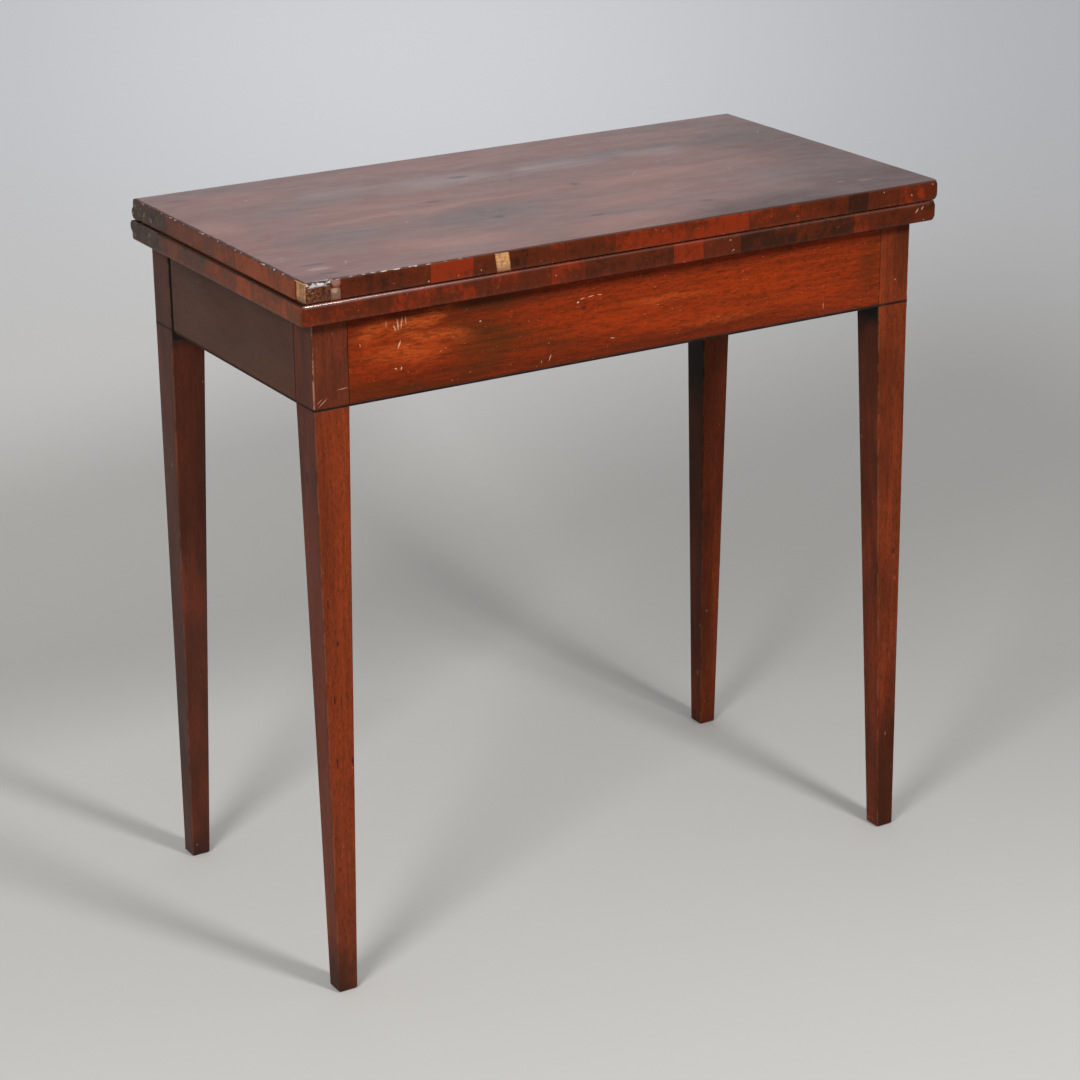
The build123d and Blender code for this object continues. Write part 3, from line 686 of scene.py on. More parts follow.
def frieze_mahogany():
    finish = Finish("frieze_mahogany")
    streak, fibre, pore = stain(finish, "X", (1, 3, 2), frieze_dark, frieze_middle, frieze_light)
    bent = finish.wavering(0.035, 16)

    def patch(x, z, reach_x, reach_z, strength, tilt=0):
        """An oval patch with its place and reach in millimetres and its tilt in degrees."""
        place, reach = (x * mm, frieze_front, z * mm), (reach_x * mm, 1, reach_z * mm)
        return finish.spot(place, reach, (0, math.radians(tilt), 0), bent).ramp(0, 0.85, 0, strength)

    bright = finish.strongest(patch, [
        (-20, 646, 110, 14, 0.6), (130, 652, 130, 20, 0.5), (60, 630, 120, 14, 0.8),
        (220, 636, 80, 16, 0.6), (-250, 645, 60, 20, 0.4), (-285, 660, 40, 30, 0.5)])
    gold = finish.strongest(patch, [
        (-245, 679, 70, 13, 0.95, -6), (-225, 660, 60, 10, 0.75, 8), (-285, 672, 35, 14, 0.7),
        (-252, 648, 60, 12, 0.6, 4), (45, 655, 70, 8, 0.45, 4), (110, 622, 90, 6, 0.35)])
    olive = finish.strongest(patch, [
        (-160, 650, 85, 26, 1, 10), (-165, 684, 80, 14, 0.85), (-250, 617, 110, 10, 0.65),
        (20, 694, 260, 7, 0.3), (296, 655, 24, 50, 0.55), (-50, 616, 140, 7, 0.45), (-90, 640, 50, 20, 0.5),
        (-165, 631, 60, 20, 0.75), (-295, 620, 40, 16, 0.6)])
    finish.lay(olive * streak.ramp(0, 1, 0.75, 1), frieze_olive)
    finish.lay(bright * fibre.ramp(0, 1, 1, 0.4), frieze_light)
    finish.lay(gold * fibre.ramp(0, 1, 1, 0.35), frieze_gold)
    finish.lay(finish.noise((70, 600, 420), 3, 0.6, (4, 4, 1)).ramp(0.57, 0.68) * 0.45, frieze_dark)
    ragged = finish.wavering(0.0012, 300)
    strokes = front_scratches(finish, [
        (-258.5, 680, 15, 2.2, 84), (-254.5, 681, 15, 1.8, 100), (-262, 677, 10, 1.6, 66),
        (-250, 683, 10, 1.2, 82), (-271, 682, 8, 1.2, 90), (-257.5, 660, 12, 1.8, 112),
        (-262, 637, 4, 1.8, 30), (-256, 636.5, 5, 1.6, 100), (-91.5, 619.5, 9, 1.6, 112),
        (-101, 617, 4, 0.8, 95), (-54, 673.5, 7, 1.2, -8), (-44, 674.5, 9, 1.4, -6), (-34, 674.5, 8, 1, 12),
        (-299, 666, 4, 1, 70), (-169, 669, 3, 2), (-59, 670.5, 3.6, 2.6), (-19, 628, 7, 1.2, 8),
        (238, 621, 10, 0.8, 92), (-166, 609, 6, 1.4)], point=ragged)
    specks = finish.noise((340, 340, 420), 1, shift=(2, 2, 9)).ramp(0.745, 0.765)
    marks = strokes * 0.8 | specks * 0.3
    finish.lay(marks, scratch_colour)
    knot = finish.spot((-0.0525, frieze_front, 0.664), (0.003, 1, 0.0026), (0, 0, 0), ragged).ramp(0, 0.6)
    finish.lay(knot * 0.8, frieze_knot)
    roughness = finish.noise((12, 12, 30), 3).ramp(0.3, 0.7, 0.33, 0.46)
    return finish.done(marks - (fibre + pore), roughness, specular=0.08)


frieze = add_block("frieze_veneer", *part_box("front_rail_veneer"))
open_for_edit(frieze)
pick_faces(lambda middle, normal: normal.y < -0.9)
bpy.ops.mesh.bevel(offset=frieze_bevel, segments=2, affect="EDGES")
close_edit()
smooth(frieze)
frieze.data.materials.append(frieze_mahogany())
stand_in(frieze, "frame", "front_rail_veneer")


# Outer back rail, fly rail and their knuckle
# Beech, one half screwed to the inner back rail and the other swinging with a leg on a wooden knuckle joint.
# The iron pin goes down through all five fingers. The beech is bare, brown with age, and finely flecked.
def old_beech():
    finish = Finish("old_beech")
    fleck = finish.noise((160, 500, 700), 2).ramp(0.6, 0.7)
    fibre = finish.noise((14, 500, 500), 3)
    shade = finish.noise((5, 30, 30), 3).ramp(0.3, 0.7)
    finish.colour = finish.mix(shade, (0.34, 0.19, 0.09), (0.20, 0.10, 0.045))
    finish.lay(fleck * 0.5, (0.12, 0.055, 0.025))
    finish.lay(fibre.ramp(0.35, 0.75, 0, 0.35), (0.15, 0.07, 0.03))
    finish.lay(finish.noise((9, 9, 16), 4, 0.7).ramp(0.52, 0.72) * 0.6, (0.06, 0.035, 0.02))
    return finish.done(fibre + fleck, 0.68, specular=0.3)


dress(old_beech(), "fixed_back_rail", "fly_rail")


# Pins and screws of iron
# Hand-filed screws with pointed shanks, and the wrought pin of the knuckle. They are brown with old rust, and
# greyer metal shows between its patches.
def old_iron():
    finish = Finish("old_iron")
    rust = finish.noise(420, 4, 0.65).ramp(0.4, 0.65)
    finish.colour = finish.mix(rust, (0.22, 0.19, 0.16), (0.085, 0.036, 0.018))
    return finish.done(finish.noise(1500, 2), rust.ramp(0, 1, 0.42, 0.8), bump=0.35,
                       metallic=rust.ramp(0, 1, 0.85, 0.1))


dress(old_iron(), "knuckle_pin", "back_rail_screws", "pocket_screws", "upper_leaf_hinge_screws",
      "lower_leaf_hinge_screws")


# Cores of the leaves
# Each leaf is a slab of pine. It shows tan and dirty where edge veneer has come off the upper leaf, and stain
# has run in along the rim under the lower leaf.
def leaf_pine():
    finish = Finish("leaf_pine")
    fibre = finish.noise((40, 120, 900), 3)
    finish.colour = finish.mix(fibre.ramp(0.3, 0.7), (0.56, 0.29, 0.120), (0.36, 0.155, 0.062))
    finish.lay(finish.noise((260, 260, 120), 3, 0.6).ramp(0.48, 0.62) * 0.6, (0.19, 0.095, 0.050))
    x, y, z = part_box("upper_leaf_core")[0]
    height = finish.along(0, 0, 1)
    finish.lay(height.ramp(z + 0.001, z + 0.007, 0.6, 0), (0.13, 0.075, 0.045))
    corner_dirt = finish.spot((x, y, 0.728), (0.016, 0.016, 0.03)).ramp(0, 0.6, 0, 0.42)
    finish.lay(corner_dirt, (0.13, 0.075, 0.048))
    small_loss = finish.spot((x + 0.032, y, 0.724), (0.012, 0.02, 0.018)).ramp(0, 0.3, 0, 0.9)
    bruised = finish.mix(height.ramp(0.725, 0.733), (0.125, 0.070, 0.052), (0.085, 0.030, 0.020))
    finish.lay(small_loss, bruised)
    tan = finish.spot((x + 0.0315, y, 0.7295), (0.0056, 0.02, 0.005), (0, 0, 0), finish.wavering(0.006, 260))
    finish.lay(tan.ramp(0, 0.7, 0, 0.85), (0.36, 0.19, 0.125))
    return finish.done(fibre, 0.7, specular=0.15, bump=0.6)


def rim_stained_pine():
    finish = Finish("rim_stained_pine")
    height = bare_wood(finish)
    low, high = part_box("lower_leaf_core")
    from_middle = finish.math("ABSOLUTE", finish.along(1, 0, 0) - (low.x + high.x) / 2)
    from_end = finish.math("SUBTRACT", (high.x - low.x) / 2, from_middle)
    inwards = finish.math("MINIMUM", from_end, finish.along(0, 1, 0) - low.y)
    spread = inwards + finish.noise(50, 3).ramp(0.3, 0.7, -0.002, 0.003)
    finish.lay(spread.ramp(0.001, 0.009, 1, 0), (0.035, 0.013, 0.008))
    return finish.done(height, 0.82, specular=0.15, bump=0.4)


dress(leaf_pine(), "upper_leaf_core")
dress(rim_stained_pine(), "lower_leaf_core")


# Hinge lips
# A strip of mahogany along the hinged edge of each core takes the wear there. Its edge is bare of veneer and
# has gone dark with handling.
def lip_mahogany():
    finish = Finish("lip_mahogany")
    fibre, pore = stain(finish, "X", (7, 5, 3), (0.030, 0.011, 0.005), (0.080, 0.021, 0.008),
                        (0.13, 0.032, 0.011))[1:]
    finish.lay(finish.noise((12, 60, 60), 3, 0.6).ramp(0.58, 0.72) * 0.6, (0.20, 0.075, 0.035))
    return finish.done((fibre + pore) * -1, 0.45, specular=0.2)


dress(lip_mahogany(), "upper_leaf_hinge_lip", "lower_leaf_hinge_lip")


# Edge veneers of the leaves
# Sawn mahogany 1.4 mm thick, laid round the edges in short lengths that differ in tone. The arrises are
# rubbed, the upper leaf's left front corner is broken and glossy with old polish, and veneer is lost at that
# corner, beside it and further along the front. A highlight is painted along the lower leaf's front top
# arris, painted shade darkens the seam between the leaves on the ends, and glints are painted on the broken
# corner.
edge_band = 0.0014
left_corner_round = 0.0035
right_corner_round = 0.0038
back_corner_round = 0.0024
arris_round = 0.0015
hinge_round = 0.0024
rim_inset = 0.0008
cuts_along = 182
cuts_across = 94
cuts_up = 5
shortest_tall_edge = 0.01
edge_smoothing = 40
arris_reach = 0.0022
arris_wear = 0.0003
knocked_corner = 0.0062
knock_depth = 0.004
knock_cover = 0.0003
joint_gap = 0.00006
plate_length = 0.066
plate_height = 0.018
plate_round = 0.003
hollow_reach = 0.0026
hollow_depth = 0.0009
hollow_stretch = (0.012, 0.052, 0.20, 0.34)
corner_loss = 0.017
corner_loss_wrap = 0.0032
first_chip = (0.0035, 0.0075, 0.0265, 0.0285)
second_chip = (0.039, 0.041, 0.044, 0.054)
chip_drop = 0.010
chips_end = 0.058
low_chip_share = 0.35
edge_chip_depth = 0.0012
chip_cuts = 3
longest_chipped_edge = 0.005
slant = 0.145
slanting_ends = (0.2756, 0.2974)
small_loss_top = 0.732
touching = 1e-5


def edge_mahogany(name, dark, middle, light, specular, nick_share, seam_shade_share, coat, arris_coat_and_highlight):
    finish = Finish(name)
    figure = finish.noise((34, 34, 50), 3, 0.6).ramp(0.34, 0.66, -0.17, 0.17)
    flame = finish.noise((150, 150, 90), 3, 0.5).ramp(0.25, 0.75, -0.15, 0.15)
    grit = finish.noise((420, 420, 300), 3, 0.6).ramp(0.3, 0.7, -0.12, 0.12)
    pore = finish.noise((500, 500, 900), 2).ramp(0.60, 0.72)
    outline = finish.wavering(0.008, 220)
    knot = finish.spot((0.3455, upper.front, 0.729), (0.008, 0.004, 0.009), (0, 0, 0), outline)
    flame = flame + knot.ramp(0, 0.8, 0, 0.6)
    tone = finish.painted("tone") + figure + (flame + grit)
    finish.colour = finish.mix(tone.ramp(-0.05, 0.5), dark, middle)
    finish.lay(tone.ramp(0.5, 1.05), light)
    finish.lay(pore * 0.3, dark)
    rub = finish.painted("rub")
    finish.lay(rub * finish.noise((80, 80, 200), 4, 0.7).ramp(0.46, 0.64) * 0.35, (0.20, 0.062, 0.030))
    nicks = finish.noise((240, 240, 300), 2, shift=(4, 4, 8)).ramp(0.75, 0.77)
    for x, z, reach, turn in ((332.5, 728.5, 1.6, 0.9), (359.5, 736.5, 1, 0), (340, 711, 4, -0.9),
                              (347, 713, 3, -0.9)):
        dent = finish.spot((x * mm, upper.front, z * mm), (reach * mm, 0.002, 0.001), (0, turn, 0))
        nicks = nicks | dent.ramp(0, 0.7)
    finish.lay(nicks * nick_share, (0.62, 0.40, 0.28))
    height = finish.along(0, 0, 1)
    # Painted shade: a near-black band along the seam where the two leaves meet, on the end veneers.
    painted_seam_shade = (height.ramp(lower.high - 0.0016, lower.high - 0.0008)
              * height.ramp(upper.low + 0.0008, upper.low + 0.0016, 1, 0))
    finish.lay(painted_seam_shade * seam_shade_share, (0.006, 0.003, 0.002))
    arris = rub * (height.ramp(lower.high - 0.004, lower.high - 0.002)
                   * height.ramp(lower.high, upper.low, 1, 0))
    # Painted highlight: a pale line along the lower leaf's top front arris, strongest at the left end and
    # fading towards the middle.
    painted_arris_highlight = arris * finish.along(1, 0, 0).ramp(-0.33, -0.10, arris_coat_and_highlight * 0.8, 0)
    finish.lay(painted_arris_highlight, (0.38, 0.25, 0.23))
    outline = finish.wavering(0.006, 260)
    scraped = finish.spot((upper.left + 0.0335, upper.front, upper.high - 0.001), (0.0066, 0.006, 0.0105),
                          (0, 0, 0), outline)
    finish.lay(scraped.ramp(0.05, 0.6, 0, 0.8), (0.25, 0.125, 0.10))
    polish = arris.ramp(0.1, 0.5, coat, arris_coat_and_highlight) if arris_coat_and_highlight else 0.0
    finish.shader.inputs["Coat IOR"].default_value = 1.9
    roughness = finish.noise(60, 3).ramp(0.3, 0.7, 0.24, 0.36)
    return finish.done(flame - pore, roughness, specular, coat=polish, coat_roughness=0.15)


def broken_polish():
    finish = Finish("broken_polish")
    flakes = finish.noise(300, 3, 0.6)
    finish.colour = finish.mix(flakes.ramp(0.35, 0.6), (0.022, 0.006, 0.002), (0.105, 0.029, 0.010))
    tan = finish.noise(420, 2, 0.6, (1, 5, 3)).ramp(0.56, 0.66)
    low_left = finish.spot((upper.left + 0.004, upper.front, upper.low + 0.005), (0.016, 1, 0.013))
    finish.lay(tan * low_left.ramp(0, 0.5) * 0.75, (0.30, 0.12, 0.045))
    # Pale splinters of broken polish near the top of the corner, partly painted glints of light on its
    # facets.
    splinters_and_glints = finish.noise((140, 330, 330), 2, 0.6, (6, 2, 8)).ramp(0.40, 0.56)
    near_top = finish.along(0, 0, 1).ramp(upper.high - 0.0065, upper.high - 0.003)
    finish.lay(splinters_and_glints * near_top * 0.85, (0.60, 0.58, 0.60))
    return finish.done(flakes + finish.noise(900, 2) * 0.4, 0.4, specular=0.12, bump=0.7, relief=0.0006,
                       coat=0.25, coat_roughness=0.2)


edge_bruises = clouds("edge_bruises", 0.008)


class Leaf:
    """The box of one leaf, its faces, and the rubbed blank that all its veneers are sawn from."""

    def __init__(self, name, far_sign):
        self.name = name
        self.body = "upper_leaf" if far_sign > 0 else "frame"
        self.far_sign = far_sign
        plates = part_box(name + "_hinge_plates")
        lip_low, lip_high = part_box(name + "_hinge_lip")
        self.left, self.right = plates[0].x, plates[1].x
        self.front, self.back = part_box(name + "_front_edge_veneer")[0].y, lip_high.y
        self.low = lip_low.z
        self.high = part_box("upper_leaf_top_veneer")[1].z if far_sign > 0 else lip_high.z
        self.near = self.low if far_sign > 0 else self.high
        self.band_top = lip_high.z
        self.blank = self.model_blank()

    def model_blank(self):
        blank = add_block(self.name + "_blank", (self.left, self.front, self.low),
                          (self.right, self.back, self.high))
        open_for_edit(blank)
        bevel(left_corner_round, 6, lambda middle, way: is_upright(middle, way)
              and middle.y < 0 and middle.x < 0)
        bevel(right_corner_round, 8, lambda middle, way: is_upright(middle, way)
              and middle.y < 0 and middle.x > 0)
        bevel(back_corner_round, 4, lambda middle, way: is_upright(middle, way) and middle.y > 0)
        bevel(hinge_round, 4, lambda middle, way: way.z == 0
              and abs(middle.y - self.back) < touching and abs(middle.z - self.near) < touching)
        pick_faces(lambda middle, normal: abs(normal.z) > 0.99)
        bpy.ops.mesh.region_to_loop()
        bpy.ops.mesh.bevel(offset=arris_round, segments=4, affect="EDGES")
        pick_faces(lambda middle, normal: abs(normal.z) > 0.99)
        bpy.ops.mesh.inset(thickness=rim_inset)
        divide(cuts_along, lambda middle, way: abs(way.x) > self.right)
        divide(cuts_across, lambda middle, way: abs(way.y) > self.back)
        divide(cuts_up, lambda middle, way: is_upright(middle, way)
               and way.length > shortest_tall_edge)
        close_edit()
        wear(blank, lambda place, normal: self.arris_share(place), arris_wear, edge_bruises)
        wear(blank, self.knocked_share, knock_depth)
        return blank

    def arris_share(self, place):
        """1 on the arrises round the top and bottom of the leaf, 0 from a few millimetres away."""
        down = min(place.z - self.low, self.high - place.z)
        inwards = min(place.x - self.left, self.right - place.x, place.y - self.front, self.back - place.y)
        return max(0, 1 - (max(down, 0) + max(inwards, 0)) / arris_reach)

    def knocked_share(self, place, normal):
        """How far a point stands out of the slopes that knocks have worn on the right front corner."""
        up = 1 if place.z > (self.low + self.high) / 2 else -1
        level = self.high if up > 0 else self.low
        slope = Vector((1, -1, up)).normalized()
        reach = (place - Vector((self.right, self.front, level))).dot(slope) + knocked_corner / math.sqrt(3)
        return max(0, reach - knock_cover) / max(normal.dot(slope), 0.5) / knock_depth

    def saw_strip(self, *cuts):
        """Saw a strip off a copy of the blank. That of the upper leaf ends below the top veneer."""
        below_top = [((0, 0, self.band_top), (0, 0, 1))] if self.far_sign > 0 else []
        return saw_from(self.blank, "strip", [*cuts, *below_top])


def saw(place, away):
    """Saw the mesh in edit mode with a plane, and lose what lies away from it."""
    bpy.ops.mesh.select_all(action="SELECT")
    bpy.ops.mesh.bisect(plane_co=place, plane_no=away, use_fill=True, clear_outer=True)


def saw_from(blank, name, cuts):
    """Copy a blank and saw the copy with planes, each a place and the direction of what falls away."""
    select_only(blank)
    bpy.ops.object.duplicate()
    piece = bpy.context.object
    piece.name = name
    piece.data.name = name
    open_for_edit(piece)
    for place, away in cuts:
        saw(place, away)
    close_edit()
    return piece


def throw_away(*pieces):
    bpy.ops.object.select_all(action="DESELECT")
    for piece in pieces:
        piece.select_set(True)
    bpy.ops.object.delete()


def join(pieces, name):
    select_only(pieces[0])
    for piece in pieces:
        piece.select_set(True)
    if len(pieces) > 1:
        bpy.ops.object.join()
    pieces[0].name = name
    pieces[0].data.name = name
    return pieces[0]


def saw_lengths(leaf, strip, axis, tones, wood):
    """Saw a strip into lengths. Where a length ends, as a share, stands with its tone, or None for a loss."""
    pieces = []
    along, up = Vector((1, 0, 0) if axis == "X" else (0, 1, 0)), Vector((0, 0, 1))
    start, end = (leaf.left, leaf.right) if axis == "X" else (leaf.front, leaf.back)
    low, low_lean = start - 1, 0
    for share, tone in tones.items():
        high = start + (end - start) * share + (1 if share == 1 else 0)
        lean = slant if share in slanting_ends else 0
        if tone is not None:
            piece = saw_from(strip, "length", [
                (along * (low + joint_gap) + up * leaf.high, -along - up * low_lean),
                (along * (high - joint_gap) + up * leaf.high, along + up * lean)])
            paint(piece, "tone", lambda place, normal: tone)
            paint(piece, "rub", lambda place, normal: leaf.arris_share(place))
            piece.data.materials.append(wood)
            pieces.append(piece)
        low, low_lean = high, lean
    throw_away(strip)
    return pieces


def finish_edge(leaf, lengths, name, node):
    edge = join(lengths, name)
    smooth(edge, edge_smoothing)
    stand_in(edge, leaf.body, leaf.name + node)


upper = Leaf("upper_leaf", 1)
lower = Leaf("lower_leaf", -1)
front_edge_wood = edge_mahogany(
    "front_edge_mahogany", (0.026, 0.0065, 0.002), (0.072, 0.0110, 0.002), (0.175, 0.0165, 0.002),
    specular=0.06, nick_share=0.55, seam_shade_share=0.0, coat=0.11, arris_coat_and_highlight=1.0)
end_edge_wood = edge_mahogany(
    "end_edge_mahogany", (0.044, 0.018, 0.011), (0.100, 0.023, 0.006), (0.210, 0.034, 0.004),
    specular=0.18, nick_share=0.35, seam_shade_share=0.85, coat=0.0, arris_coat_and_highlight=0.0)
broken_wood = broken_polish()
chip_pattern = clouds("chips", 0.0022)


def stretch(value, start, full, waning, end):
    """1 from full to waning, falling in straight lines to 0 at start and end."""
    return between(value, start, full) * between(value, end, waning)


def corner_chip(place):
    """The broken stretch of the upper leaf's front, at its left corner, deepest at the top arris."""
    if place.y > upper.front + arris_reach:
        return 0
    along = place.x - upper.left
    down = max(0, 1 - (upper.high - place.z) / chip_drop)
    return max(stretch(along, *first_chip) * (low_chip_share + (1 - low_chip_share) * down),
               stretch(along, *second_chip) * down ** 3)


def chip(piece, depth, test):
    """Divide a piece finely at the broken corner and break it there, where the test says."""
    open_for_edit(piece)
    divide(chip_cuts, lambda middle, way: middle.x < upper.left + chips_end
           and middle.y < upper.front + arris_reach and way.length < longest_chipped_edge)
    close_edit()
    wear(piece, lambda place, normal: corner_chip(place) if test(place, normal) else 0, depth, chip_pattern)


def front_strip(leaf):
    return leaf.saw_strip(((0, leaf.front + edge_band, 0), (0, 1, 0)))


upper_front = saw_lengths(upper, front_strip(upper), "X", {
    corner_loss_wrap / (upper.right - upper.left): None, 0.0382: 0.3, 0.0532: 0.35, 0.12: 0.36, 0.181: 0.42,
    0.244: 0.93, 0.2756: 0.50, 0.2974: None, 0.326: 0.22, 0.383: 0.52, 0.416: 0.42, 0.461: 0.46, 0.56: 0.80,
    0.675: 0.84, 0.76: 0.58, 0.842: 0.44, 0.876: 0.08, 0.93: 0.48, 1: 0.6}, front_edge_wood)
open_for_edit(upper_front[1])
saw((0, 0, small_loss_top), (0, 0, -1))
close_edit()
for piece in (upper_front[0], upper_front[2]):
    chip(piece, edge_chip_depth, lambda place, normal: normal.y < 0.3)
upper_front[0].data.materials.clear()
upper_front[0].data.materials.append(broken_wood)
finish_edge(upper, upper_front, "upper_front_edge", "_front_edge_veneer")
lower_front = saw_lengths(lower, front_strip(lower), "X", {
    0.124: 0.54, 0.144: 0.66, 0.199: 0.60, 0.249: 0.66, 0.274: 0.50, 0.315: 0.72, 0.362: 0.62, 0.417: 0.68,
    0.556: 0.40, 0.604: 0.94, 0.665: 0.52, 0.72: 0.08, 0.808: 0.18, 0.856: 0.24, 0.882: 0.64, 0.954: 0.32,
    1: 0.36}, front_edge_wood)
finish_edge(lower, lower_front, "lower_front_edge", "_front_edge_veneer")


def end_strip(leaf, side):
    """The veneer of one end, cut out for the hinge plate and hollowed where the leaves meet at the left."""
    outer = leaf.left if side < 0 else leaf.right
    strip = leaf.saw_strip(((outer - side * edge_band, 0, 0), (-side, 0, 0)),
                           ((0, leaf.front + edge_band, 0), (0, -1, 0)))
    past = 0.01
    seat = add_block("seat", (outer - past, leaf.back - plate_length, leaf.near - leaf.far_sign * past),
                     (outer + past, leaf.back + past, leaf.near + leaf.far_sign * plate_height))
    open_for_edit(seat)
    bevel(plate_round, 5, lambda middle, way: way.y == 0 and way.z == 0
          and middle.y < leaf.back and (middle.z - leaf.near) * leaf.far_sign > 0)
    close_edit()
    select_only(strip)
    cut_out = strip.modifiers.new("cut_out", "BOOLEAN")
    cut_out.operation = "DIFFERENCE"
    cut_out.object = seat
    bpy.ops.object.modifier_apply(modifier="cut_out")
    throw_away(seat)

    def hollow(place, normal):
        along = stretch(leaf.back - place.y, *hollow_stretch)
        return along * max(0, 1 - abs(place.z - leaf.near) / hollow_reach)

    if side < 0:
        wear(strip, hollow, -hollow_depth * leaf.far_sign, direction="Z")
    return strip


upper_end_tones = {0.16: 0.82, 0.373: 0.92, 0.50: 0.62, 0.66: 0.50, 0.79: 0.44, 1: 0.04}
lower_end_tones = {0.23: 0.66, 0.282: 0.74, 0.36: 0.95, 0.543: 0.64, 0.712: 0.24, 0.777: 0.46, 1: 0.10}
for leaf, tones in ((upper, upper_end_tones), (lower, lower_end_tones)):
    for side, side_name in ((-1, "_left"), (1, "_right")):
        lost = {corner_loss / (upper.back - upper.front): None} if leaf is upper and side < 0 else {}
        lengths = saw_lengths(leaf, end_strip(leaf, side), "Y", lost | tones, end_edge_wood)
        finish_edge(leaf, lengths, leaf.name + side_name + "_edge", side_name + "_edge_veneer")


# Top veneer
# One sheet of mahogany covers the upper leaf, its grain running the length of the table. Age, sun and spilt
# drink have left grey stains and pinker bands, a crack, dents, scratches and specks in a worn polish.
top_grey = (0.135, 0.092, 0.089)
top_middle = (0.210, 0.098, 0.083)
top_pink = (0.300, 0.138, 0.110)
top_shadow = (0.070, 0.026, 0.021)
top_brown = (0.200, 0.074, 0.060)
top_pale = (0.275, 0.190, 0.182)
scratch_pale = (0.50, 0.36, 0.29)
bruise_dark = (0.040, 0.026, 0.024)
crack_dark = (0.020, 0.012, 0.010)
ridge_pale = (0.36, 0.25, 0.23)
speck_pale = (0.50, 0.38, 0.32)
rim_dark = (0.034, 0.012, 0.008)
rim_specks_and_glints = (0.50, 0.42, 0.38)
chip_dark = (0.020, 0.009, 0.006)
bare_edge = (0.48, 0.25, 0.10)
top_chip_depth = 0.0011
sheet_margin = 0.0003


